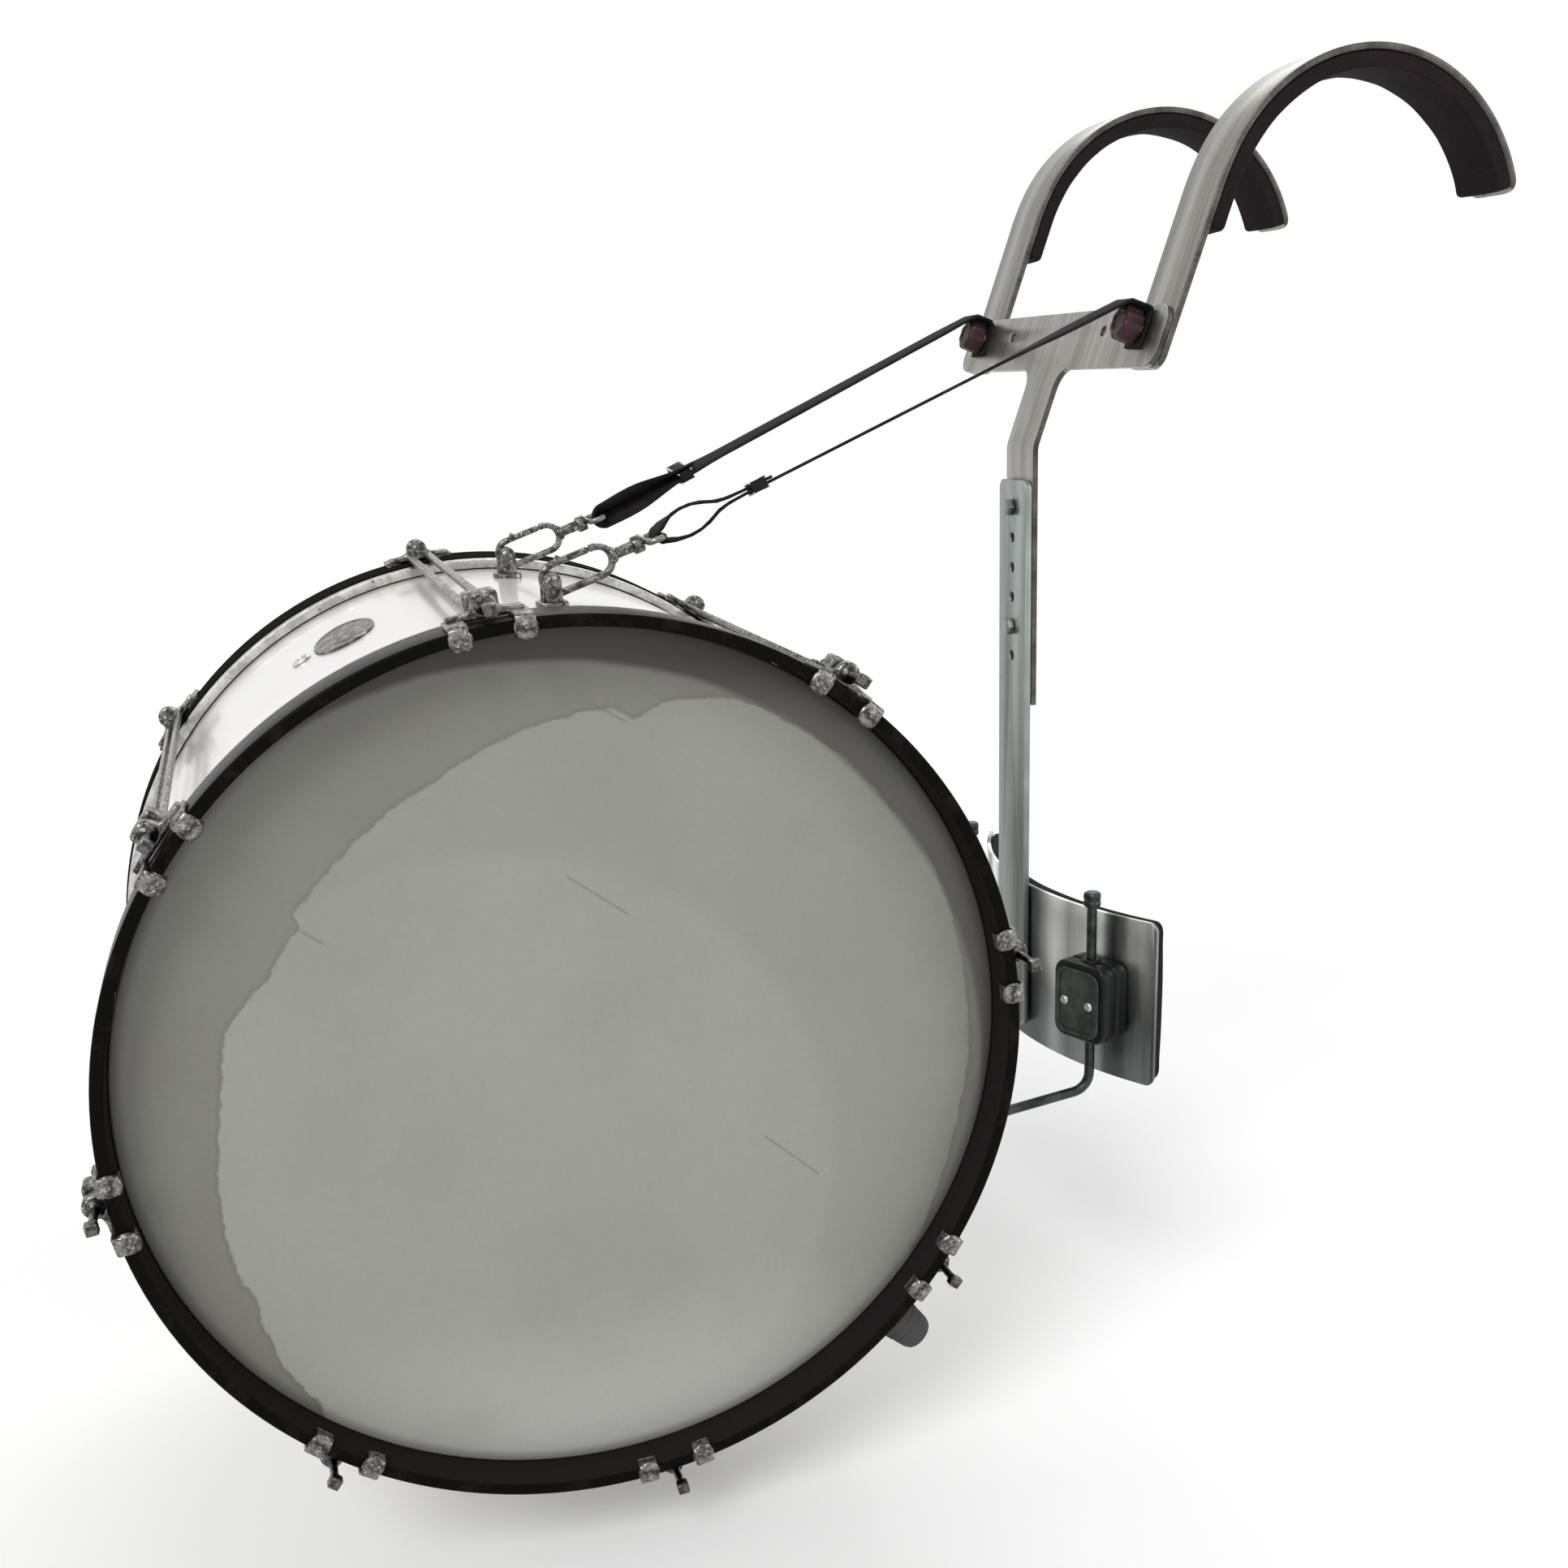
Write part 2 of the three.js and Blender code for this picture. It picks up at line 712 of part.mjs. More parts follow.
function ribbon(points, thickness) {
  const left = [];
  const right = [];
  points.forEach((point, i) => {
    const before = points[Math.max(i - 1, 0)];
    const after = points[Math.min(i + 1, points.length - 1)];
    const tangent = after.clone().sub(before).normalize();
    const normal = new THREE.Vector2(-tangent.y, tangent.x).multiplyScalar(thickness / 2);
    left.push(point.clone().add(normal));
    right.unshift(point.clone().sub(normal));
  });
  return new THREE.Shape([...left, ...right]);
}

function arcPoints(centre, radius, from, to, steps) {
  const points = [];
  for (let i = 0; i <= steps; i += 1) {
    const angle = from + (to - from) * (i / steps);
    const spoke = new THREE.Vector2(Math.cos(angle), Math.sin(angle));
    points.push(centre.clone().addScaledVector(spoke, radius));
  }
  return points;
}

// A rounded corner between two directions, as points of its arc
function cornerPoints(corner, inward, outward, radius, steps) {
  const turn = Math.atan2(inward.cross(outward), inward.dot(outward));
  const reach = radius * Math.tan(Math.abs(turn) / 2);
  const start = corner.clone().addScaledVector(inward, -reach);
  const sign = Math.sign(turn);
  const centre = start.clone().add(new THREE.Vector2(-inward.y, inward.x).multiplyScalar(sign * radius));
  const from = Math.atan2(start.y - centre.y, start.x - centre.x);
  return arcPoints(centre, radius, from, from + turn, steps);
}

// Webbing strap, drawn from the side: from its buckle through the snap's ring and back, then over the
// knob's grip to the chest plate, where the knob's stem passes through its end
const loopShares = [0.08, 0.22, 0.4, 0.6, 0.8, 0.93];

function strapRing(side) {
  const reach = snapRingMiddle + (snapRingGap + snapRingBar) / 2;
  return snapOrigin(side).addScaledVector(snapDirection, reach);
}

function webbingStrap(side, opening) {
  const ring = strapRing(side);
  const knob = knobPoint(side);
  const slope = (knob.y - ring.y) / (knob.x - ring.x);
  const towardNear = new THREE.Vector3(0, -1, 0);
  const flat = new THREE.Matrix4().makeBasis(new THREE.Vector3(1, slope, 0), alongZ, towardNear);
  flat.setPosition(ring);
  const local = (point) => new THREE.Vector2(point.x - ring.x, point.z - ring.z);
  const tabMiddle = knob.clone().addScaledVector(leanOut, seatGap + webbingThickness / 2);
  const overGrip = tabMiddle.clone().addScaledVector(leanUp, knobRadius + seatGap + webbingThickness / 2);
  const corner = local(overGrip.clone().addScaledVector(leanOut, knobReach));
  const bend = local(overGrip);
  const tabEnd = local(tabMiddle.clone().addScaledVector(leanUp, -strapTabDrop));
  const inward = bend.clone().sub(corner).normalize();
  const downward = tabEnd.clone().sub(bend).normalize();
  const pull = corner.clone().normalize();
  const rise = new THREE.Vector2(-pull.y, pull.x);
  const at = (along, up) => pull.clone().multiplyScalar(along).addScaledVector(rise, up);
  const wrap = (snapRingBar * Math.SQRT2 + webbingThickness) / 2 + seatGap;
  const heading = Math.atan2(pull.y, pull.x);
  const layer = webbingThickness + seatGap;
  const spread = (share) => wrap * (1 - share) + layer / 2 * share + Math.sin(Math.PI * share) * opening / 2;
  const buckleMiddle = loopLength + buckleLength / 2;
  const path = [
    at(buckleMiddle, layer / 2),
    ...loopShares.map((share) => at(loopLength * share, spread(share))).reverse(),
    ...arcPoints(at(0, 0), wrap, heading + Math.PI / 2, heading + 1.5 * Math.PI, smallSides / 2),
    ...loopShares.map((share) => at(loopLength * share, -spread(share))),
    at(buckleMiddle, -layer / 2),
    ...cornerPoints(corner, pull, inward, strapBendRadius, cornerSides),
    ...cornerPoints(bend, inward, downward, strapBendRadius, cornerSides),
    tabEnd,
  ];
  const belt = prism(ribbon(path, webbingThickness), webbingWidth, flat, true);
  const buckleOutline = roundedRectangle(buckleLength, buckleHeight, buckleHeight / 4);
  const inPlane = (vector) => new THREE.Vector3(vector.x, vector.x * slope, vector.y);
  const middle = ring.clone().add(inPlane(at(buckleMiddle, 0)));
  const buckleFrame = new THREE.Matrix4().makeBasis(inPlane(pull), inPlane(rise), towardNear);
  buckleFrame.setPosition(middle);
  const buckle = prism(buckleOutline, buckleWidth, buckleFrame, true, smallSides / 2);
  const behind = knob.clone().addScaledVector(leanOut, -knobHeight);
  const before = knob.clone().addScaledVector(leanOut, knobHeight);
  return cut(joined(belt, buckle), rod(behind, before, knobStemRadius + seatGap, smallSides));
}

// Knob with a lobed grip. Its stem holds the strap's end, the chest plate and the hook's foot together
function strapKnob(side) {
  const seat = 2 * seatGap + webbingThickness;
  const point = knobPoint(side);
  const face = point.clone().addScaledVector(leanOut, seat);
  const grip = new THREE.Shape();
  const steps = knobLobes * smallSides / 2;
  for (let i = 0; i < steps; i += 1) {
    const angle = 2 * Math.PI * i / steps;
    const radius = knobRadius - knobLobe * (1 + Math.cos(knobLobes * angle)) / 2;
    const corner = [radius * Math.cos(angle), radius * Math.sin(angle)];
    if (i === 0) grip.moveTo(...corner);
    else grip.lineTo(...corner);
  }
  const gripBase = face.clone().addScaledVector(leanOut, knobWasherHeight - seatGap);
  const body = prism(grip, knobHeight, plane(gripBase, leanUp, acrossY), false);
  const crown = turnedAt([
    [0, 0],
    [knobWasherRadius, 0],
    [knobWasherRadius, knobWasherHeight],
    [0, knobWasherHeight],
  ], face, leanOut, roundSides);
  const stem = upperBarThickness + seatGap + hookThickness + knobStemTip;
  const back = point.clone().addScaledVector(leanOut, -stem);
  return joined(body, crown, rod(back, face, knobStemRadius, smallSides));
}

// Upper bar and chest plate, cut and bent from one blank
function barPath() {
  const middle = upperBarBack - upperBarThickness / 2;
  const inward = new THREE.Vector2(0, 1);
  const outward = new THREE.Vector2(leanUp.x, leanUp.z);
  const top = plateRise + plateHeight + plateCrown;
  const frontCorner = new THREE.Vector2(bendPoint.x, bendPoint.z);
  const half = upperBarThickness / 2;
  const corner = new THREE.Vector2(middle, bendPoint.z - half * Math.tan(lean / 2));
  const backward = new THREE.Vector2(leanUp.z, -leanUp.x);
  const end = frontCorner.clone().addScaledVector(outward, top).addScaledVector(backward, half);
  return [
    new THREE.Vector2(middle, upperBarBottom),
    ...cornerPoints(corner, inward, outward, bendRadius, smallSides / 2),
    end,
  ];
}

function plateHead() {
  const half = plateSpan / 2;
  const bar = barWidth / 2;
  const top = plateRise + plateHeight;
  const shape = new THREE.Shape();
  shape.moveTo(-bar, plateRise - plateFillet);
  shape.lineTo(bar, plateRise - plateFillet);
  shape.absarc(bar + plateFillet, plateRise - plateFillet, plateFillet, Math.PI, Math.PI / 2, true);
  shape.lineTo(half - plateCorner, plateRise);
  shape.absarc(half - plateCorner, plateRise + plateCorner, plateCorner, -Math.PI / 2, 0);
  shape.lineTo(half, top - plateCorner);
  shape.absarc(half - plateCorner, top - plateCorner, plateCorner, 0, Math.PI / 2);
  shape.lineTo(-half + plateCorner, top);
  shape.absarc(-half + plateCorner, top - plateCorner, plateCorner, Math.PI / 2, Math.PI);
  shape.lineTo(-half, plateRise + plateCorner);
  shape.absarc(-half + plateCorner, plateRise + plateCorner, plateCorner, Math.PI, 1.5 * Math.PI);
  shape.lineTo(-bar - plateFillet, plateRise);
  shape.absarc(-bar - plateFillet, plateRise - plateFillet, plateFillet, Math.PI / 2, 0, true);
  for (const sign of [-1, 1]) {
    shape.holes.push(circleHole(sign * knobSpread / 2, knobRise, knobStemRadius + seatGap));
    shape.holes.push(circleHole(sign * (knobSpread / 2 - spareHoleStep), knobRise, knobStemRadius + seatGap));
  }
  return prism(shape, upperBarThickness, plane(bendPoint, acrossY, leanUp), false, smallSides / 2);
}

const xzPlane = new THREE.Matrix4().makeBasis(alongX, alongZ, new THREE.Vector3(0, -1, 0));

function chestPlate() {
  const bar = prism(ribbon(barPath(), upperBarThickness), barWidth, xzPlane, true);
  return cut(joined(bar, plateHead()), ...boltedHoleSteps.map(barHole));
}

function barHoleHeight(step) {
  return barHoleTop - step * barHolePitch;
}

function barHole(step) {
  const height = barHoleHeight(step);
  const from = new THREE.Vector3(barForward - cutOverrun, 0, height);
  const to = new THREE.Vector3(upperBarBack + cutOverrun, 0, height);
  return rod(from, to, barHoleRadius, smallSides);
}

function lowerBar() {
  const height = lowerBarTop - lowerBarBottom;
  const middle = new THREE.Vector3(barForward, 0, lowerBarBottom + height / 2);
  const outline = roundedRectangle(barWidth, height, lowerBarRound);
  const blank = prism(outline, lowerBarThickness, plane(middle, acrossY, alongZ), false, smallSides / 2);
  return cut(blank, ...Array.from({ length: barHoleCount }, (_, step) => barHole(step)));
}

function barBolt(step) {
  const height = barHoleHeight(step);
  const at = (x) => new THREE.Vector3(x, 0, height);
  const head = barForward - seatGap;
  const nut = upperBarBack + seatGap;
  return joined(
    rod(at(head - boltHeadHeight), at(head), boltHeadRadius, boltSides),
    rod(at(head), at(nut + boltNutHeight), boltRadius, smallSides),
    rod(at(nut), at(nut + boltNutHeight), boltHeadRadius, boltSides),
  );
}

// The hook's outer face: a straight leg, a slight knee and the arch over the shoulder
const hookHeading = Math.PI / 2 - lean;
const hookKneeLength = hookKneeRadius * radians(hookKneeTurn);
const hookArchLength = hookArchRadius * radians(hookArchTurn);
const hookPathLength = hookLeg + hookKneeLength + hookArchLength;

function hookStation(distance, inset) {
  const start = bendPoint.clone()
    .addScaledVector(leanUp, plateRise + hookFootDrop)
    .addScaledVector(leanOut, -(upperBarThickness + seatGap));
  const point = new THREE.Vector2(start.x, start.z);
  const runs = [
    [Infinity, hookLeg],
    [hookKneeRadius, hookKneeLength],
    [hookArchRadius, hookArchLength],
  ];
  let heading = hookHeading;
  let rest = distance;
  for (const [radius, length] of runs) {
    const run = Math.min(rest, length);
    if (radius === Infinity) {
      point.add(new THREE.Vector2(Math.cos(heading), Math.sin(heading)).multiplyScalar(run));
    } else {
      const next = heading - run / radius;
      point.x += radius * (Math.sin(heading) - Math.sin(next));
      point.y += radius * (Math.cos(next) - Math.cos(heading));
      heading = next;
    }
    rest -= run;
  }
  const inward = new THREE.Vector2(Math.sin(heading), -Math.cos(heading));
  point.addScaledVector(inward, inset);
  return { point, inward };
}

// Distances along a strip, closer together where its ends are rounded, with the half width at each
function stripStations(from, to, halfWidth, corner, runs) {
  const turns = Array.from({ length: cornerTurns + 1 }, (_, i) => (Math.PI / 2) * i / cornerTurns);
  const stations = turns.map((turn) => ({
    distance: from + corner * (1 - Math.cos(turn)),
    half: halfWidth - corner * (1 - Math.sin(turn)),
  }));
  const inner = from + corner;
  const length = to - from - 2 * corner;
  for (let i = 1; i < runs; i += 1) stations.push({ distance: inner + length * i / runs, half: halfWidth });
  turns.slice().reverse().forEach((turn) => stations.push({
    distance: to - corner * (1 - Math.cos(turn)),
    half: halfWidth - corner * (1 - Math.sin(turn)),
  }));
  return stations;
}

function shoulderHook(side) {
  const middle = side * hookSpread / 2;
  const stations = stripStations(0, hookPathLength, hookWidth / 2, hookEndCorner, hookRuns);
  const strip = loft(stations.map(({ distance, half }) => {
    const outer = hookStation(distance, 0).point;
    const inner = hookStation(distance, hookThickness).point;
    return [
      new THREE.Vector3(outer.x, middle - half, outer.y),
      new THREE.Vector3(outer.x, middle + half, outer.y),
      new THREE.Vector3(inner.x, middle + half, inner.y),
      new THREE.Vector3(inner.x, middle - half, inner.y),
    ];
  }));
  const point = knobPoint(side);
  const from = point.clone().addScaledVector(leanOut, -(upperBarThickness + hookThickness + knobHeight));
  return cut(strip, rod(from, point, knobStemRadius + seatGap, smallSides));
}

// Section of a foam layer: flat on its plate, drawn in at the sides and crowned towards the wearer
function foamSection(half, thickness, edge, crown) {
  return [
    [-(half - edge), 0],
    [half - edge, 0],
    [half, edge],
    [half - edge / 8, thickness - edge],
    [half - edge, thickness],
    [half / 2, thickness + crown * padShoulderShare],
    [0, thickness + crown],
    [-half / 2, thickness + crown * padShoulderShare],
    [-(half - edge), thickness],
    [-(half - edge / 8), thickness - edge],
    [-half, edge],
  ];
}

function shoulderPad(side) {
  const middle = side * hookSpread / 2;
  const seat = hookThickness + seatGap;
  const widest = hookWidth / 2 - padEdge / 4;
  const stations = stripStations(padStart, hookPathLength - padEdge, widest, padEdge, padRuns);
  return loft(stations.map(({ distance, half }) => {
    const squeeze = padThickness - (widest - half) / 2;
    return foamSection(half, squeeze, padEdge / 2, padCrown).map(([across, depth]) => {
      const { point } = hookStation(distance, seat + depth);
      return new THREE.Vector3(point.x, middle + across, point.y);
    });
  }));
}

// Belly plate, bent about an upright axis on the wearer's side
const bellyFace = barForward + lowerBarThickness + seatGap;
const bellyAxis = bellyFace + bellyRadius;
const bellyTurn = Math.asin(bellySpan / 2 / bellyRadius);

function bellyPoint(angle, radius, height) {
  return new THREE.Vector3(bellyAxis - radius * Math.cos(angle), radius * Math.sin(angle), height);
}

function bellyPlate() {
  const middle = bellyTop - bellyHeight / 2;
  const reach = bellyRadius * bellyTurn;
  const stations = stripStations(-reach, reach, bellyHeight / 2, bellyCorner, bellyRuns);
  return loft(stations.map(({ distance, half }) => {
    const angle = distance / bellyRadius;
    return [
      bellyPoint(angle, bellyRadius, middle - half),
      bellyPoint(angle, bellyRadius, middle + half),
      bellyPoint(angle, bellyRadius - bellyThickness, middle + half),
      bellyPoint(angle, bellyRadius - bellyThickness, middle - half),
    ];
  }));
}

function bellyFoam() {
  const middle = bellyTop - bellyHeight / 2;
  const seat = bellyRadius - bellyThickness - seatGap;
  const reach = bellyRadius * bellyTurn - bellyFoamInset;
  const half0 = bellyHeight / 2 - bellyFoamInset;
  const stations = stripStations(-reach, reach, half0, bellyCorner, bellyRuns);
  return loft(stations.map(({ distance, half }) => {
    const squeeze = bellyFoamThickness - (half0 - half) / 2;
    return foamSection(half, squeeze, bellyFoamEdge, padCrown).map(([across, depth]) => (
      bellyPoint(distance / bellyRadius, seat - depth, middle + across)
    ));
  }));
}

// Rod clamps: a rubber block on the belly plate with a steel cover
const clampTurn = Math.asin(clampSpread / 2 / bellyRadius);

function clampFrame(side, distance) {
  const out = new THREE.Vector3(-Math.cos(clampTurn), side * Math.sin(clampTurn), 0);
  const right = new THREE.Vector3().crossVectors(alongZ, out);
  const origin = bellyPoint(side * clampTurn, bellyRadius, clampRise).addScaledVector(out, distance);
  return { origin, matrix: plane(origin, right, alongZ), right, out };
}

function rodAxis(side) {
  return clampFrame(side, seatGap + clampDepth / 2).origin;
}

function rodClamp(side) {
  const { matrix } = clampFrame(side, -bellyThickness);
  const depth = bellyThickness + seatGap + clampDepth;
  const outline = roundedRectangle(clampWidth, clampHeight, clampCorner);
  const block = prism(outline, depth, matrix, false, smallSides / 2);
  const axis = rodAxis(side);
  const half = clampHeight / 2 + cutOverrun;
  const from = axis.clone().setZ(axis.z - half);
  const to = axis.clone().setZ(axis.z + half);
  const belly = rod(
    new THREE.Vector3(bellyAxis, 0, clampRise - half),
    new THREE.Vector3(bellyAxis, 0, clampRise + half),
    bellyRadius + seatGap,
    bellyCutSides,
  );
  return cut(block, belly, rod(from, to, rodRadius + seatGap, smallSides));
}

function clampCover(side) {
  const { matrix, origin, right, out } = clampFrame(side, clampDepth + 2 * seatGap);
  const outline = roundedRectangle(clampPlateWidth, clampPlateHeight, clampPlateCorner);
  const pieces = [prism(outline, clampPlateThickness, matrix, false, smallSides / 2)];
  for (const sign of [-1, 1]) {
    const foot = origin.clone().addScaledVector(right, sign * clampScrewSpacing / 2);
    const top = foot.clone().addScaledVector(out, clampPlateThickness + clampScrewHeight);
    pieces.push(rod(foot, top, clampScrewRadius, smallSides));
  }
  return joined(...pieces);
}

// J-rods: upright through the clamp, then bent forward into a socket on the shell
const rodLeg = new THREE.Vector2(-Math.cos(radians(rodLegDrop)), -Math.sin(radians(rodLegDrop)));

function legEnd(side) {
  const elbow = new THREE.Vector2(rodAxis(side).x, rodElbowHeight);
  const along = -elbow.dot(rodLeg);
  const shortest = elbow.clone().addScaledVector(rodLeg, along);
  const half = Math.sqrt(shellRadius ** 2 - shortest.lengthSq());
  return along - half - socketFloor;
}

function legPoint(side, distance) {
  const axis = rodAxis(side);
  return new THREE.Vector3(axis.x + rodLeg.x * distance, axis.y, rodElbowHeight + rodLeg.y * distance);
}

function jRod(side) {
  const axis = rodAxis(side);
  const elbow = new THREE.Vector2(axis.x, rodElbowHeight);
  const end = legPoint(side, legEnd(side));
  const path = [
    new THREE.Vector2(axis.x, rodTop + rodKnobHeight / 2),
    ...cornerPoints(elbow, new THREE.Vector2(0, -1), rodLeg, rodBendRadius, smallSides),
    new THREE.Vector2(end.x, end.z),
  ];
  const shaft = loft(path.map((point, i) => {
    const before = path[Math.max(i - 1, 0)];
    const after = path[Math.min(i + 1, path.length - 1)];
    const tangent = after.clone().sub(before).normalize();
    return Array.from({ length: smallSides }, (_, k) => {
      const angle = 2 * Math.PI * k / smallSides;
      const out = rodRadius * Math.cos(angle);
      const x = point.x - tangent.y * out;
      const z = point.y + tangent.x * out;
      return new THREE.Vector3(x, axis.y + rodRadius * Math.sin(angle), z);
    });
  }));
  const knob = turnedAt([
    [0, 0],
    [rodKnobRadius, 0],
    [rodKnobRadius, rodKnobHeight - rodKnobRound],
    [rodKnobRadius - rodKnobRound, rodKnobHeight],
    [0, rodKnobHeight],
  ], axis.clone().setZ(rodTop), alongZ, roundSides);
  return joined(shaft, knob);
}

function rodSocket(side) {
  const end = legEnd(side);
  const boss = rod(
    legPoint(side, end - socketDepth),
    legPoint(side, end + socketFloor + socketFootThickness),
    rodRadius + seatGap + socketWall,
    roundSides,
  );
  const seat = legPoint(side, end + socketFloor);
  const out = seat.clone().setY(0).normalize();
  const right = new THREE.Vector3().crossVectors(acrossY, out);
  const low = seat.clone().addScaledVector(out, -socketFootThickness);
  const outline = roundedRectangle(socketFootLength, socketFootWidth, socketFootWidth / 4);
  const foot = prism(outline, 2 * socketFootThickness, plane(low, right, acrossY), false, smallSides / 2);
  const bore = rod(
    legPoint(side, end - socketDepth - cutOverrun),
    legPoint(side, end + seatGap),
    rodRadius + seatGap,
    smallSides,
  );
  return cut(joined(boss, foot), drumCore(shellRadius + seatGap), bore);
}

// The wearer's shoulders meet the pads under the crests of the two arches
function shoulderCrest() {
  const distance = hookLeg + hookKneeLength + hookArchRadius * (hookHeading - radians(hookKneeTurn));
  return hookStation(distance, hookThickness + seatGap + padThickness + padCrown).point;
}

// Assembly
const sides = { near: -1, far: 1 };
addPiece('shell', shellSolid(), 'paint');
addPiece('head_near', headSolid(-1), 'film');
addPiece('head_far', headSolid(1), 'film');
addPiece('hoop_near', hoopSolid(-1), 'lacquer');
addPiece('hoop_far', hoopSolid(1), 'lacquer');
for (let i = 0; i < tensionCount; i += 1) {
  const turn = firstTensionAngle + i * 360 / tensionCount;
  addPiece(`claw_${i + 1}`, claw(-1, true), 'nickel', turn);
  addPiece(`stirrup_${i + 1}`, stirrup(), 'nickel', turn);
  addPiece(`key_screw_${i + 1}`, keyScrew(), 'nickel', turn);
}
addPiece('badge', badge(), 'steel');
addPiece('vent', vent(), 'steel');
addPiece('bumper', bumper(), 'rubber');
addPiece('chest_plate', chestPlate(), 'aluminium');
addPiece('lower_bar', lowerBar(), 'aluminium');
boltedHoleSteps.forEach((step, i) => addPiece(`bar_bolt_${i + 1}`, barBolt(step), 'steel'));
addPiece('belly_plate', bellyPlate(), 'aluminium');
addPiece('belly_foam', bellyFoam(), 'foam');
for (const [name, side] of Object.entries(sides)) {
  addPiece(`strap_bracket_${name}`, strapBracket(side), 'nickel');
  addPiece(`snap_hook_${name}`, snapHook(side), 'nickel');
  addPiece(`snap_gate_${name}`, snapGate(side), 'nickel');
  addPiece(`strap_${name}`, webbingStrap(side, side < 0 ? nearLoopOpening : farLoopOpening), 'webbing');
  addPiece(`strap_knob_${name}`, strapKnob(side), 'plastic');
  addPiece(`shoulder_hook_${name}`, shoulderHook(side), 'aluminium');
  addPiece(`shoulder_pad_${name}`, shoulderPad(side), 'foam');
  addPiece(`rod_clamp_${name}`, rodClamp(side), 'rubber');
  addPiece(`clamp_cover_${name}`, clampCover(side), 'steel');
  addPiece(`j_rod_${name}`, jRod(side), 'steel');
  addPiece(`rod_socket_${name}`, rodSocket(side), 'nickel');
}
const crest = shoulderCrest();
placed.position.set(-crest.x, 0, -crest.y);

export default root;
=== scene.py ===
"""Looks of a marching bass drum worn on an aluminium shoulder carrier.

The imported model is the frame. Every piece here is drawn in millimetres in the drum's own axes: the origin is the
drum's centre, X runs to the wearer, Y along the drum's axis to its far head, and Z up. Bench.piece turns a finished
form into a piece of the shared frame, in metres.
"""

import logging
import math
from collections.abc import Callable, Sequence
from dataclasses import dataclass
from enum import Enum

import bmesh
import bpy
from mathutils import Matrix, Vector, noise


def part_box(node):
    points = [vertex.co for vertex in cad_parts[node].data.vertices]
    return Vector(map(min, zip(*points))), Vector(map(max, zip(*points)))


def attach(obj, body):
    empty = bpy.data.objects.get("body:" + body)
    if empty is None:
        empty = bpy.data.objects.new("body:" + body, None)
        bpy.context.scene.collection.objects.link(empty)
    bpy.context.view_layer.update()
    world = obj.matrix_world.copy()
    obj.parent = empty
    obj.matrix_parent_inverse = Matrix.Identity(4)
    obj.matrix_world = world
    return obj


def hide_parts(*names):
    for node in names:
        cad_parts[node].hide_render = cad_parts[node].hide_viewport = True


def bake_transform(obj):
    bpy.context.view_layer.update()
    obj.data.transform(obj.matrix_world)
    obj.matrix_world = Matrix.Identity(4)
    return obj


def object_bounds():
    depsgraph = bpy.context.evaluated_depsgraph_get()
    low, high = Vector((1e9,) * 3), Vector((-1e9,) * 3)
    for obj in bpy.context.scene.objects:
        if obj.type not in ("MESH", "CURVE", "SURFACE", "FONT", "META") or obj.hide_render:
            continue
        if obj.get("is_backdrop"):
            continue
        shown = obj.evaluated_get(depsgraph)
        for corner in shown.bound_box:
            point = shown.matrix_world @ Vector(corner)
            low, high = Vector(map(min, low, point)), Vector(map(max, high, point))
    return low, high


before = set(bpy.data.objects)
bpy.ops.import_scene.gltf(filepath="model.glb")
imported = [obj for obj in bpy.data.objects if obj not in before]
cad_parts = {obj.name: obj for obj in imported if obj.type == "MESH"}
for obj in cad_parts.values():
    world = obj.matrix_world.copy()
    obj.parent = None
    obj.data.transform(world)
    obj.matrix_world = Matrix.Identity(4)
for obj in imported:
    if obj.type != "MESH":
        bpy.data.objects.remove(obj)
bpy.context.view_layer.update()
log = logging.getLogger("marching_drum")

MM = 0.001
SEAT_GAP = 0.3
ORIGIN = Vector((0, 0, 0))
ALONG_X = Vector((1, 0, 0))
ALONG_Y = Vector((0, 1, 0))
ALONG_Z = Vector((0, 0, 1))
SIDES = {"near": -1, "far": 1}
SHELL_RADIUS = 254
HOOP_INNER = 255.2
HOOP_OUTER = 262.4
HOOP_EDGE = 195
CARRIER_LEAN = 20
LEAN_UP = Vector((math.sin(math.radians(CARRIER_LEAN)), 0, math.cos(math.radians(CARRIER_LEAN))))
LEAN_OUT = Vector((-LEAN_UP.z, 0, LEAN_UP.x))

Point = tuple[float, float]
Colour = tuple[float, float, float]


def written(code: str) -> Colour:
    """Turns a colour as a screen shows it into the linear numbers that a shader takes.

    Args:
        code: Six hex digits, red, green and blue.

    Returns:
        The linear red, green and blue.
    """
    parts = [int(code[i : i + 2], 16) / 255 for i in (0, 2, 4)]
    return tuple(c / 12.92 if c <= 0.04045 else ((c + 0.055) / 1.055) ** 2.4 for c in parts)


def eased(share: float) -> float:
    """A share from 0 to 1 that starts and ends gently."""
    return share * share * (3 - 2 * share)


# Outlines and paths


def arc(centre: Point, radius: float, start: float, end: float, steps: int = 8) -> list[Point]:
    """Points along an arc.

    Args:
        centre: The arc's centre.
        radius: Its radius.
        start: The angle of its first point, in degrees.
        end: The angle of its last point, in degrees.
        steps: How many straight runs it has.

    Returns:
        The points in order.
    """
    turns = [math.radians(start + (end - start) * i / steps) for i in range(steps + 1)]
    return [(centre[0] + radius * math.cos(t), centre[1] + radius * math.sin(t)) for t in turns]


def ring(centre: Point, radius: float, steps: int = 28) -> list[Point]:
    """Points round a full circle."""
    return arc(centre, radius, 0, 360, steps)[:-1]


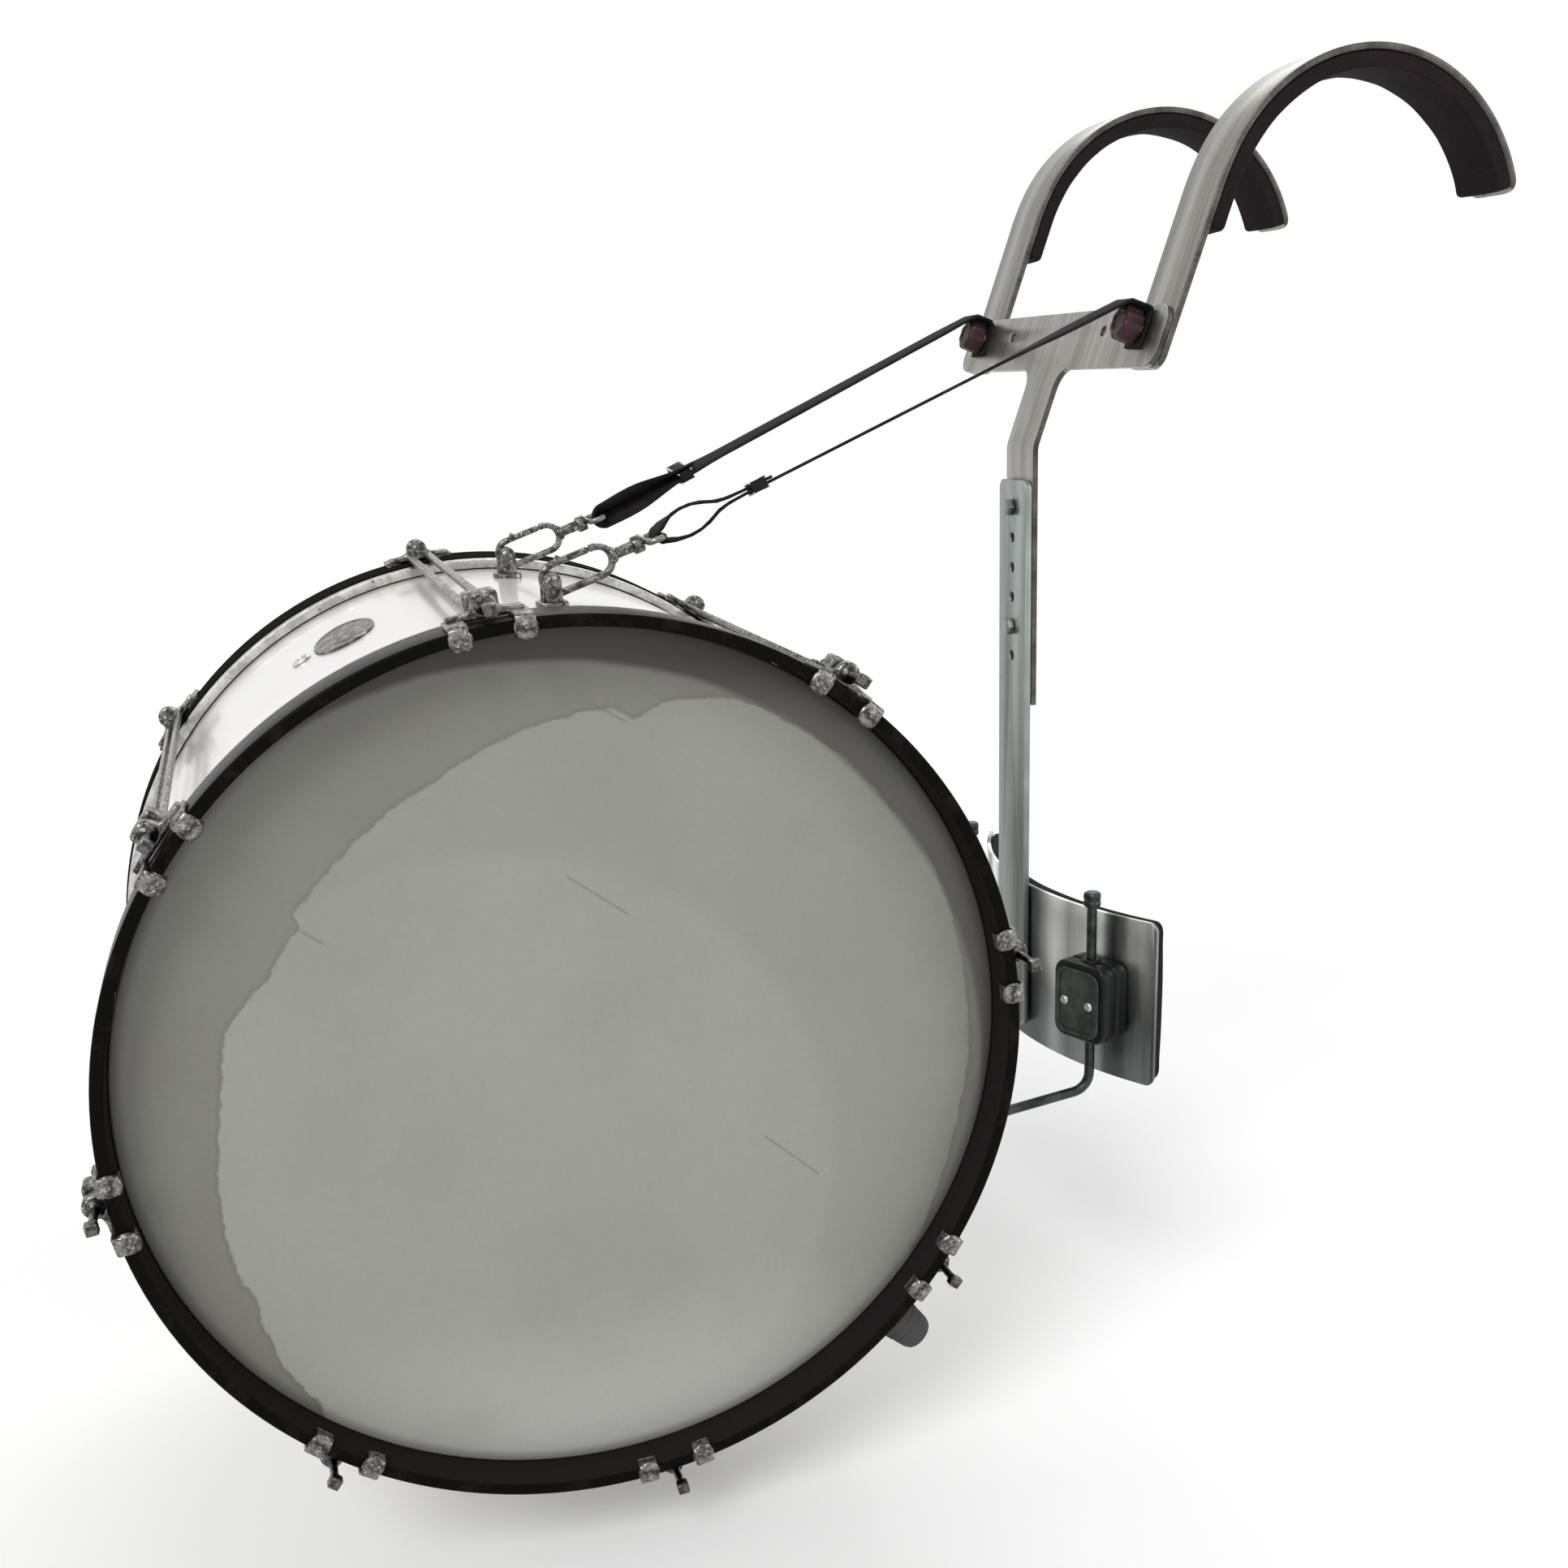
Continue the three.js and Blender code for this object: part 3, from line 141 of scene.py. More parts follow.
def rounded(width: float, height: float, corner: float, steps: int = 6) -> list[Point]:
    """Outline of a rectangle with round corners, centred on zero.

    Args:
        width: Its size along the first axis.
        height: Its size along the second.
        corner: The radius of its corners.
        steps: How many straight runs a corner has.

    Returns:
        The points in order.
    """
    w, h = width / 2 - corner, height / 2 - corner
    corners = [((w, -h), -90), ((w, h), 0), ((-w, h), 90), ((-w, -h), 180)]
    return [p for centre, turn in corners for p in arc(centre, corner, turn, turn + 90, steps)]


def rounded_path(points: Sequence[Point], radius: float, steps: int = 6) -> list[Point]:
    """A path whose inner corners are turned into arcs.

    Args:
        points: The path's ends and its sharp corners.
        radius: The radius of every corner.
        steps: How many straight runs an arc has.

    Returns:
        The points of the rounded path.
    """
    path = [points[0]]
    for before, corner, after in zip(points, points[1:], points[2:]):
        inward = (Vector(corner) - Vector(before)).normalized()
        outward = (Vector(after) - Vector(corner)).normalized()
        turn = math.atan2(inward.cross(outward), inward.dot(outward))
        reach = radius * math.tan(abs(turn) / 2)
        start = Vector(corner) - inward * reach
        centre = start + Vector((-inward.y, inward.x)) * math.copysign(radius, turn)
        first = math.degrees(math.atan2(start.y - centre.y, start.x - centre.x))
        path += arc(tuple(centre), radius, first, first + math.degrees(turn), steps)
    return path + [points[-1]]


def ribbon(path: Sequence[Point], thickness: float) -> list[Point]:
    """Outline of a strip of even thickness that follows a path.

    Args:
        path: The strip's middle line.
        thickness: Its thickness.

    Returns:
        The points in order.
    """
    left, right = [], []
    for i, point in enumerate(path):
        before, after = path[max(i - 1, 0)], path[min(i + 1, len(path) - 1)]
        tangent = (Vector(after) - Vector(before)).normalized()
        normal = Vector((-tangent.y, tangent.x)) * thickness / 2
        left.append(tuple(Vector(point) + normal))
        right.append(tuple(Vector(point) - normal))
    return left + right[::-1]


def curve_between(start: Point, control: Point, end: Point, steps: int = 8) -> list[Point]:
    """Points of a smooth bend from start to end that leans towards a control point, without its first.

    Args:
        start: Where it begins.
        control: The point that it leans towards.
        end: Where it ends.
        steps: How many straight runs it has.

    Returns:
        The points in order.
    """
    points = []
    for i in range(1, steps + 1):
        t = i / steps
        weights = ((1 - t) ** 2, 2 * t * (1 - t), t * t)
        places = (start, control, end)
        points.append(tuple(sum(w * p[axis] for w, p in zip(weights, places)) for axis in (0, 1)))
    return points


def strip_stations(
    start: float, end: float, half: float, corner: float, runs: int, turns: int
) -> list[tuple[float, float]]:
    """Distances along a strip with rounded ends, and its half width at each.

    Args:
        start: Where the strip begins.
        end: Where it ends.
        half: Its half width.
        corner: The radius of its corners.
        runs: How many even runs lie between the corners.
        turns: How many runs a corner has.

    Returns:
        The distances and half widths in order.
    """
    angles = [math.pi / 2 * i / turns for i in range(turns + 1)]
    first = [(start + corner * (1 - math.cos(a)), half - corner * (1 - math.sin(a))) for a in angles]
    last = [(end - corner * (1 - math.cos(a)), half - corner * (1 - math.sin(a))) for a in reversed(angles)]
    length = end - start - 2 * corner
    return first + [(start + corner + length * i / runs, half) for i in range(1, runs)] + last


def strip_section(half: float, thickness: float, edge: float) -> list[Point]:
    """Section of a strip with eased edges, as (across, depth).

    Args:
        half: Its half width.
        thickness: Its thickness.
        edge: How far its edges are eased.

    Returns:
        The points in order.
    """
    right = [(half - edge, 0), (half, edge), (half, thickness - edge), (half - edge, thickness)]
    left = [(-across, depth) for across, depth in reversed(right)]
    return left[-1:] + [(0, 0)] + right + [(0, thickness)] + left[:-1]


def foam_section(half: float, thickness: float, edge: float, crown: float) -> list[Point]:
    """Section of a foam layer as (across, rise), flat below, with soft sides and a crowned face.

    Args:
        half: Its half width.
        thickness: Its height at the side.
        edge: The radius of its lower edge.
        crown: How much higher its middle is.

    Returns:
        The points in order.
    """
    shares = (0.85, 0.6, 0.35, 0.12)
    right = arc((half - edge, edge), edge, -90, 0, 3)
    right += arc((half - 1.2 * edge, thickness - edge), edge * 1.2, 0, 80, 4)
    right += [((half - 1.3 * edge) * share, thickness + crown * (1 - share * share)) for share in shares]
    return right + [(-x, y) for x, y in reversed(right)]


def plane(origin: Vector, right: Vector, up: Vector) -> Matrix:
    """The drawing plane at a point, with its normal as third axis.

    Args:
        origin: Where its zero lies.
        right: Its first axis.
        up: Its second axis.

    Returns:
        The matrix that puts it there.
    """
    out = right.cross(up)
    columns = [right, up, out]
    rows = [[column[i] for column in columns] + [origin[i]] for i in range(3)]
    return Matrix(rows + [[0, 0, 0, 1]])


class Form:
    """A closed mesh in drum millimetres, grown from turned, lofted and cut-out parts.

    Its map named grain runs across and along each part in metres, so that brushing and weave can follow it.
    """

    def __init__(self) -> None:
        """Starts an empty form."""
        self.mesh = bmesh.new()
        self.grain = self.mesh.loops.layers.uv.new("grain")

    def _face(self, corners: Sequence[bmesh.types.BMVert], places: Sequence[Point], finish: int) -> None:
        """Adds one face with its places on the grain map, in millimetres.

        Args:
            corners: Its corners in order.
            places: Their places on the map.
            finish: Which of the piece's finishes it wears.
        """
        face = self.mesh.faces.new(corners)
        face.material_index = finish
        for loop, place in zip(face.loops, places):
            loop[self.grain].uv = (place[0] * MM, place[1] * MM)

    def skin(
        self, rings: Sequence[Sequence[Vector]], closed: bool = False, caps: bool = True, finish: int = 0
    ) -> None:
        """Joins rings of equal count in order.

        Args:
            rings: Points of each ring; a ring of one point closes the form there.
            closed: Whether the last ring joins the first.
            caps: Whether the end rings get a face.
            finish: Which of the piece's finishes it wears.
        """
        made = [[self.mesh.verts.new(p) for p in points] for points in rings]
        order = list(range(len(rings)))
        along = 0.0
        for a, b in zip(order, order[1:] + ([0] if closed else [])):
            low, high = made[a], made[b]
            step = (rings[b][0] - rings[a][0]).length
            count = max(len(low), len(high))
            around = 0.0
            for i in range(count):
                j = (i + 1) % count
                wide = high if len(high) == count else low
                width = (wide[j].co - wide[i].co).length
                if len(low) == 1:
                    places = [(around, along), (around + width, along + step), (around, along + step)]
                    self._face((low[0], high[j], high[i]), places, finish)
                elif len(high) == 1:
                    places = [(around, along), (around + width, along), (around, along + step)]
                    self._face((low[i], low[j], high[0]), places, finish)
                else:
                    corners = (low[i], low[j], high[j], high[i])
                    places = [(around, along), (around + width, along), (around + width, along + step)]
                    self._face(corners, places + [(around, along + step)], finish)
                around += width
            along += step
        if caps and not closed:
            for points, order_of in ((made[0], -1), (made[-1], 1)):
                if len(points) > 2:
                    corners = points[::order_of]
                    flat = [(c.co.y, c.co.z) for c in corners]
                    self._face(corners, flat, finish)

    def turn(
        self, profile: Sequence[Point], origin: Vector = ORIGIN, axis: Vector = ALONG_Y, steps: int = 32,
        closed: bool = False, finish: int = 0,
    ) -> None:
        """Turns a profile of (radius, height) points about an axis.

        Args:
            profile: The points; a radius of zero lies on the axis.
            origin: Where height zero is.
            axis: The direction in which height grows.
            steps: How many facets go round.
            closed: Whether the profile closes on itself, clear of the axis.
            finish: Which of the piece's finishes it wears.
        """
        turned = axis.to_track_quat("Z", "Y")
        side, across = turned @ ALONG_X, turned @ ALONG_Y
        rings = []
        for radius, height in profile:
            middle = origin + axis * height
            if radius == 0:
                rings.append([middle])
                continue
            turns = [2 * math.pi * i / steps for i in range(steps)]
            rings.append([middle + (side * math.cos(t) + across * math.sin(t)) * radius for t in turns])
        self.skin(rings, closed=closed, caps=not closed, finish=finish)

    def plate(
        self, outlines: Sequence[Sequence[Point]], depth: float, place: Matrix, edge: float = 0.6,
        centred: bool = False, finish: int = 0,
    ) -> None:
        """Cuts a plate with eased edges from an outline and its holes.

        Args:
            outlines: The outline first, then any holes.
            depth: The plate's thickness along the drawing plane's normal.
            place: The drawing plane.
            edge: The radius of its edges.
            centred: Whether the plate lies on both sides of the plane.
            finish: Which of the piece's finishes it wears.
        """
        blank = bpy.data.curves.new("blank", "CURVE")
        blank.dimensions, blank.fill_mode = "2D", "BOTH"
        blank.extrude, blank.bevel_depth = depth / 2 - edge, edge
        blank.bevel_resolution, blank.offset = 1, -edge
        for outline in outlines:
            spline = blank.splines.new("POLY")
            spline.points.add(len(outline) - 1)
            for point, (x, y) in zip(spline.points, outline):
                point.co = (x, y, 0, 1)
            spline.use_cyclic_u = True
        holder = bpy.data.objects.new("blank", blank)
        mesh = bpy.data.meshes.new_from_object(holder)
        cut = bmesh.new()
        cut.from_mesh(mesh)
        bmesh.ops.remove_doubles(cut, verts=cut.verts, dist=0.002)
        bmesh.ops.dissolve_degenerate(cut, edges=cut.edges, dist=0.002)
        lift = 0 if centred else depth / 2
        added = {v: self.mesh.verts.new(place @ (v.co + ALONG_Z * lift)) for v in cut.verts}
        for face in cut.faces:
            corners = [added[v] for v in face.verts]
            self._face(corners, [(v.co.x, v.co.y) for v in face.verts], finish)
        cut.free()
        bpy.data.objects.remove(holder)
        bpy.data.curves.remove(blank)
        bpy.data.meshes.remove(mesh)

    def sweep(self, path: Sequence[Vector], section: Sequence[Point], side: Vector, closed: bool = False) -> None:
        """Carries a section along a path, with one side of the section held to a direction.

        Args:
            path: The points of the path.
            section: Points (along side, across side) of the section.
            side: The direction that the section's first axis keeps to.
            closed: Whether the path joins its own start.
        """
        rings = []
        count = len(path)
        for i, point in enumerate(path):
            before = path[i - 1] if i or closed else point
            after = path[(i + 1) % count] if closed or i + 1 < count else point
            tangent = (after - before).normalized()
            first = (side - tangent * side.dot(tangent)).normalized()
            second = tangent.cross(first)
            rings.append([point + first * x + second * y for x, y in section])
        self.skin(rings, closed=closed)

    def rod(self, start: Vector, end: Vector, radius: float, steps: int = 20, edge: float = 0.4) -> None:
        """A round bar between two points, with eased ends.

        Args:
            start: Where it begins.
            end: Where it ends.
            radius: Its radius.
            steps: How many facets go round.
            edge: How far its ends are eased.
        """
        length = (end - start).length
        profile = [(0, 0), (radius - edge, 0), (radius, edge), (radius, length - edge), (radius - edge, length)]
        self.turn(profile + [(0, length)], start, (end - start).normalized(), steps)

    def ball(self, centre: Vector, radius: float, steps: int = 16) -> None:
        """A round ball."""
        profile = arc((0, 0), radius, -90, 90, steps // 2)
        self.turn([(0, -radius)] + profile[1:-1] + [(0, radius)], centre, ALONG_Z, steps)

    def absorb(self, other: "Form") -> None:
        """Takes in another form's faces.

        Args:
            other: The other form, which is used up.
        """
        made = [self.mesh.verts.new(vert.co) for vert in other.mesh.verts]
        other.mesh.verts.index_update()
        for face in other.mesh.faces:
            corners = [made[vert.index] for vert in face.verts]
            places = [tuple(loop[other.grain].uv / MM) for loop in face.loops]
            self._face(corners, places, face.material_index)
        other.mesh.free()

    def thread(
        self, origin: Vector, axis: Vector, start: float, end: float, radius: float, depth: float,
        pitch: float, finish: int = 0,
    ) -> None:
        """A screw thread of one start.

        Args:
            origin: Where height zero is.
            axis: The direction in which height grows.
            start: The height of its lower end.
            end: The height of its upper end.
            radius: The radius over the ridges.
            depth: How deep the groove is.
            pitch: The height of one turn.
            finish: Which of the piece's finishes it wears.
        """
        turned = axis.to_track_quat("Z", "Y")
        side, across = turned @ ALONG_X, turned @ ALONG_Y
        steps, rows = 12, round((end - start) / pitch * 4)
        rings = [[origin + axis * start]]
        for row in range(rows + 1):
            height = start + (end - start) * row / rows
            taper = min(1.0, row / 3, (rows - row) / 3)
            points = []
            for i in range(steps):
                share = (height / pitch - i / steps) % 1
                ridge = radius - depth + depth * abs(2 * share - 1) * taper
                turn = 2 * math.pi * i / steps
                points.append(origin + axis * height + (side * math.cos(turn) + across * math.sin(turn)) * ridge)
            rings.append(points)
        self.skin(rings + [[origin + axis * end]], caps=False, finish=finish)

    def stitch(self, centre: Vector, along: Vector, out: Vector, length: float, finish: int = 1) -> None:
        """One short stitch, a low rounded bar.

        Args:
            centre: Its middle.
            along: The way it runs.
            out: The way it stands out.
            length: Its length.
            finish: Which of the piece's finishes it wears.
        """
        across = along.cross(out)
        rings = [[centre - along * length / 2]]
        for share, size in ((-0.42, 0.6), (-0.2, 1.0), (0.2, 1.0), (0.42, 0.6)):
            middle = centre + along * length * share
            places = [(math.cos(t * math.pi / 3), math.sin(t * math.pi / 3)) for t in range(6)]
            rings.append([middle + across * x * 0.36 * size + out * y * 0.3 * size for x, y in places])
        self.skin(rings + [[centre + along * length / 2]], caps=False, finish=finish)

    def slice_across(self, foot: Vector, normal: Vector) -> None:
        """Cuts every face along a plane, so that the form can bend there."""
        parts = list(self.mesh.verts) + list(self.mesh.edges) + list(self.mesh.faces)
        bmesh.ops.bisect_plane(self.mesh, geom=parts, dist=0.0001, plane_co=foot, plane_no=normal)

    def remap(self, moved: Callable[[Vector], Vector]) -> None:
        """Moves every point to where a function puts it."""
        for vert in self.mesh.verts:
            vert.co = moved(vert.co.copy())

    def mark(self, chosen: Callable[[bmesh.types.BMFace], bool]) -> None:
        """Gives the second finish to the faces that a test chooses.

        Args:
            chosen: The test.
        """
        self.mesh.normal_update()
        for face in self.mesh.faces:
            face.material_index = int(chosen(face))

    def push_out(self, foot: Vector, radius: float, axis: Vector) -> None:
        """Moves every point that lies inside a round core out to the core's face.

        Args:
            foot: A point on the core's axis.
            radius: The core's radius.
            axis: The axis.
        """
        for vert in self.mesh.verts:
            spoke = vert.co - foot
            spoke -= axis * spoke.dot(axis)
            if 0 < spoke.length < radius:
                vert.co += spoke.normalized() * (radius - spoke.length)


class Bench:
    """Turns forms into pieces of the shared frame and keeps count of them."""

    def __init__(self) -> None:
        """Finds the drum's centre in the frame."""
        low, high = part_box("shell")
        self.centre = (low + high) / 2
        self.count = 0

    def mesh(self, name: str, form: Form, finishes: Sequence["Wear"], crease: float = 38) -> bpy.types.Mesh:
        """Turns a form into mesh data in metres.

        Args:
            name: The mesh's name.
            form: The form, which is used up.
            finishes: The finishes, in the order of the form's numbers.
            crease: The angle in degrees above which an edge stays sharp.

        Returns:
            The mesh.
        """
        bmesh.ops.recalc_face_normals(form.mesh, faces=form.mesh.faces)
        bmesh.ops.scale(form.mesh, vec=(MM, MM, MM), verts=form.mesh.verts)
        mesh = bpy.data.meshes.new(name)
        form.mesh.to_mesh(mesh)
        form.mesh.free()
        mesh.shade_smooth()
        mesh.set_sharp_from_angle(angle=math.radians(crease))
        for finish in finishes:
            mesh.materials.append(finish.value.material())
        return mesh

    def piece(
        self, name: str, mesh: bpy.types.Mesh, body: str, slot_name: str, stands_for: Sequence[str] = (),
        turn: float = 0.0,
    ) -> bpy.types.Object:
        """Places a mesh in the frame and lets it ride on its body.

        Args:
            name: The piece's name.
            mesh: Its mesh, in the drum's axes.
            body: The body it moves with.
            slot_name: The material slot's name; not used.
            stands_for: The nodes of the frame that it replaces.
            turn: How far it is turned about the drum's axis, in degrees from X towards Z.

        Returns:
            The piece.
        """
        piece = bpy.data.objects.new(name, mesh)
        bpy.context.scene.collection.objects.link(piece)
        piece.location = self.centre
        piece.rotation_euler = (0, -math.radians(turn), 0)
        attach(piece, body)
        if stands_for:
            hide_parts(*stands_for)
        self.count += 1
        log.info("%s: %d faces on %s", name, len(mesh.polygons), body)
        return piece

    def add(
        self, name: str, form: Form, finishes: Sequence["Wear"], body: str, slot_name: str,
        *stands_for: str, crease: float = 38,
    ) -> bpy.types.Object:
        """Turns a form into a piece that no other shares its mesh with.

        Args:
            name: The piece's name.
            form: The form, which is used up.
            finishes: The finishes, in the order of the form's numbers.
            body: The body it moves with.
            slot_name: The material slot's name.
            stands_for: The nodes of the frame that it replaces.
            crease: The angle in degrees above which an edge stays sharp.

        Returns:
            The piece.
        """
        return self.piece(name, self.mesh(name, form, finishes, crease), body, slot_name, stands_for)


# Shader maths


class Value:
    """A shader socket that takes part in Python expressions."""

    def __init__(self, shader: "Shader", socket: bpy.types.NodeSocket) -> None:
        """Wraps a socket."""
        self.shader = shader
        self.socket = socket

    def _maths(self, operation: str, *terms: "Feed") -> "Value":
        """Adds one Math node."""
        return self.shader.node("ShaderNodeMath", {"operation": operation}, dict(enumerate(terms)))

    def __add__(self, other: "Feed") -> "Value":
        """The sum."""
        return self._maths("ADD", self, other)

    def __radd__(self, other: "Feed") -> "Value":
        """The sum, with the other term first."""
        return self._maths("ADD", other, self)

    def __sub__(self, other: "Feed") -> "Value":
        """The difference."""
        return self._maths("SUBTRACT", self, other)

    def __rsub__(self, other: "Feed") -> "Value":
        """The difference, with the other term first."""
        return self._maths("SUBTRACT", other, self)

    def __mul__(self, other: "Feed") -> "Value":
        """The product."""
        return self._maths("MULTIPLY", self, other)

    def __rmul__(self, other: "Feed") -> "Value":
        """The product, with the other term first."""
        return self._maths("MULTIPLY", other, self)

    def __truediv__(self, other: "Feed") -> "Value":
        """The quotient."""
        return self._maths("DIVIDE", self, other)

    def __abs__(self) -> "Value":
        """The size without its sign."""
        return self._maths("ABSOLUTE", self)

    def sine(self) -> "Value":
        """The sine of an angle in radians."""
        return self._maths("SINE", self)

    def root(self) -> "Value":
        """The square root."""
        return self._maths("SQRT", self)

    def turn_from(self, across: "Feed") -> "Value":
        """The angle in radians of a point whose height is this value."""
        return self._maths("ARCTAN2", self, across)

    def larger(self, other: "Feed") -> "Value":
        """The larger of two values."""
        return self._maths("MAXIMUM", self, other)

    def rise(self, low: float, high: float) -> "Value":
        """A soft step from 0 at low to 1 at high; falls when low is above high."""
        ends = {0: self, 1: min(low, high), 2: max(low, high), 3: float(low > high), 4: float(low <= high)}
        return self.shader.node("ShaderNodeMapRange", {"interpolation_type": "SMOOTHSTEP"}, ends)


Feed = Value | float | Sequence[float]


class Shader:
    """The node tree of a material or of the world, filled by Python expressions."""

    def __init__(self, owner: bpy.types.Material | bpy.types.World) -> None:
        """Empties the owner's tree.

        Args:
            owner: What the tree belongs to.
        """
        owner.use_nodes = True
        self.tree = owner.node_tree
        self.tree.nodes.clear()

    def node(
        self, kind: str, settings: dict[str, object] | None = None,
        feeds: dict[int | str, Feed] | None = None, out: int | str = 0,
    ) -> Value:
        """Adds a node.

        Args:
            kind: The node's type.
            settings: Its settings; points are a curve's places and heights.
            feeds: What its sockets take, by number or name.
            out: Which of its outputs is wanted.

        Returns:
            That output.
        """
        node = self.tree.nodes.new(kind)
        for key, setting in (settings or {}).items():
            if key == "points":
                curve = node.mapping.curves[0]
                for place in setting[1:-1]:
                    curve.points.new(*place)
                curve.points[0].location, curve.points[-1].location = setting[0], setting[-1]
                for point in curve.points:
                    point.handle_type = "VECTOR"
                node.mapping.update()
            else:
                setattr(node, key, setting)
        for key, feed in (feeds or {}).items():
            socket = node.inputs[key]
            if isinstance(feed, Value):
                self.tree.links.new(feed.socket, socket)
            elif socket.type == "RGBA" and len(feed) == 3:
                socket.default_value = (*feed, 1)
            else:
                socket.default_value = feed
        return Value(self, node.outputs[out])

    def place(self) -> Value:
        """Where a point is, in metres from the drum's centre."""
        return self.node("ShaderNodeTexCoord", out="Object")

    def grain(self) -> Value:
        """Where a point is on the map named grain, in metres."""
        return self.node("ShaderNodeUVMap", {"uv_map": "grain"})

    def axes(self, where: Value) -> tuple[Value, Value, Value]:
        """The three numbers of a vector.

        Args:
            where: The vector.

        Returns:
            Its three numbers.
        """
        first = self.node("ShaderNodeSeparateXYZ", feeds={0: where})
        outputs = first.socket.node.outputs
        return first, Value(self, outputs[1]), Value(self, outputs[2])

    def stretched(self, where: Value, scale: Sequence[float]) -> Value:
        """A place scaled by a number for each axis."""
        return self.node("ShaderNodeVectorMath", {"operation": "MULTIPLY"}, {0: where, 1: scale})

    def noise(self, where: Value, scale: float, detail: float = 2.0, rough: float = 0.5) -> Value:
        """Smooth noise from 0 to 1, with so many waves to the metre."""
        feeds = {"Vector": where, "Scale": scale, "Detail": detail, "Roughness": rough}
        return self.node("ShaderNodeTexNoise", feeds=feeds)

    def cells(self, where: Value, scale: float) -> Value:
        """Distance to the nearest of scattered points, with so many cells to the metre."""
        return self.node("ShaderNodeTexVoronoi", feeds={"Vector": where, "Scale": scale})

    def mix(self, share: Feed, low: Feed, high: Feed) -> Value:
        """A colour between two others."""
        return self.node("ShaderNodeMix", {"data_type": "RGBA"}, {0: share, 6: low, 7: high}, out=2)

    def bump(self, height: Value, depth: float) -> Value:
        """A normal that shows a height of so many metres at full value."""
        return self.node("ShaderNodeBump", feeds={"Height": height, "Distance": depth, "Strength": 1.0})

    def surface(self, colour: Value, rough: Feed, height: Value, depth: float, **others: Feed) -> None:
        """Ends the tree in a surface.

        Args:
            colour: The base colour.
            rough: The roughness.
            height: The relief that the normal shows.
            depth: How many metres deep the relief is at full value.
            others: Further sockets of the shader, with underscores for spaces.
        """
        named = {key.replace("_", " "): feed for key, feed in others.items()}
        named |= {"Base Color": colour, "Roughness": rough, "Normal": self.bump(height, depth)}
        self.close(self.node("ShaderNodeBsdfPrincipled", feeds=named))

    def close(self, end: Value, output: str = "ShaderNodeOutputMaterial") -> None:
        """Links a shader to the surface that the output node of a type shows."""
        self.tree.links.new(end.socket, self.tree.nodes.new(output).inputs["Surface"])


# Finishes


@dataclass(frozen=True)
class Finish:
    """What one kind of surface looks like."""

    name: str

    def material(self) -> bpy.types.Material:
        """The finish as a material, made the first time that it is asked for.

        Returns:
            The material.
        """
        made = bpy.data.materials.get(self.name)
        if made is None:
            made = bpy.data.materials.new(self.name)
            self.draw(Shader(made))
        return made

    def draw(self, shader: Shader) -> None:
        """Builds the finish's nodes."""
        raise NotImplementedError


@dataclass(frozen=True)
class Paint(Finish):
    """Gloss white paint on the shell, a little dusty where it meets the fittings."""

    fresh: str = "e9e7e3"
    dusty: str = "cbc8c2"
    roughness: float = 0.2

    def draw(self, shader: Shader) -> None:
        """Clouds of dust over even paint, with fine orange peel in the gloss.

        Args:
            shader: Where the nodes go.
        """
        where = shader.place()
        cloud = shader.noise(where, 7, 4, 0.6)
        specks = shader.cells(where, 260).rise(0.12, 0.05) * shader.noise(where, 30).rise(0.55, 0.7)
        _, y, _ = shader.axes(where)
        rim = abs(y).rise(0.128, 0.147)
        dust = (cloud.rise(0.45, 0.8) * 0.35 + rim * 0.4 + specks * 0.5) * 0.9
        colour = shader.mix(dust, written(self.fresh), written(self.dusty))
        peel = shader.noise(where, 420, 2)
        shader.surface(colour, dust * 0.25 + self.roughness, peel, 0.00004, Coat_Weight=0.35, Coat_Roughness=0.08)


@dataclass(frozen=True)
class Lacquer(Finish):
    """Black lacquer over a wooden hoop, rubbed along its edges."""

    deep: str = "0b0a09"
    scuffed: str = "171412"
    rubbed: str = "1a1613"
    roughness: float = 0.3
    edge: float = HOOP_EDGE * MM
    specular: float = 0.04

    def draw(self, shader: Shader) -> None:
        """Even black, with wear at the outer edge, fine scuffs and a trace of the wood's grain.

        Args:
            shader: Where the nodes go.
        """
        where = shader.place()
        x, y, z = shader.axes(where)
        chips = shader.noise(where, 55, 5, 0.7)
        wear = abs(y).rise(self.edge - 0.0014, self.edge) * chips.rise(0.5, 0.62)
        around = z.turn_from(x)
        turned = shader.node("ShaderNodeCombineXYZ", feeds={0: around * 0.26, 1: y * 12, 2: 0.0})
        scuffs = shader.noise(turned, 38, 4, 0.65)
        tone = shader.mix(scuffs.rise(0.55, 0.85) * 0.45, written(self.deep), written(self.scuffed))
        colour = shader.mix(wear, tone, written(self.rubbed))
        rough = scuffs * 0.22 + wear * 0.3 + (self.roughness - 0.08)
        shader.surface(colour, rough, scuffs, 0.00005, Specular_IOR_Level=self.specular)


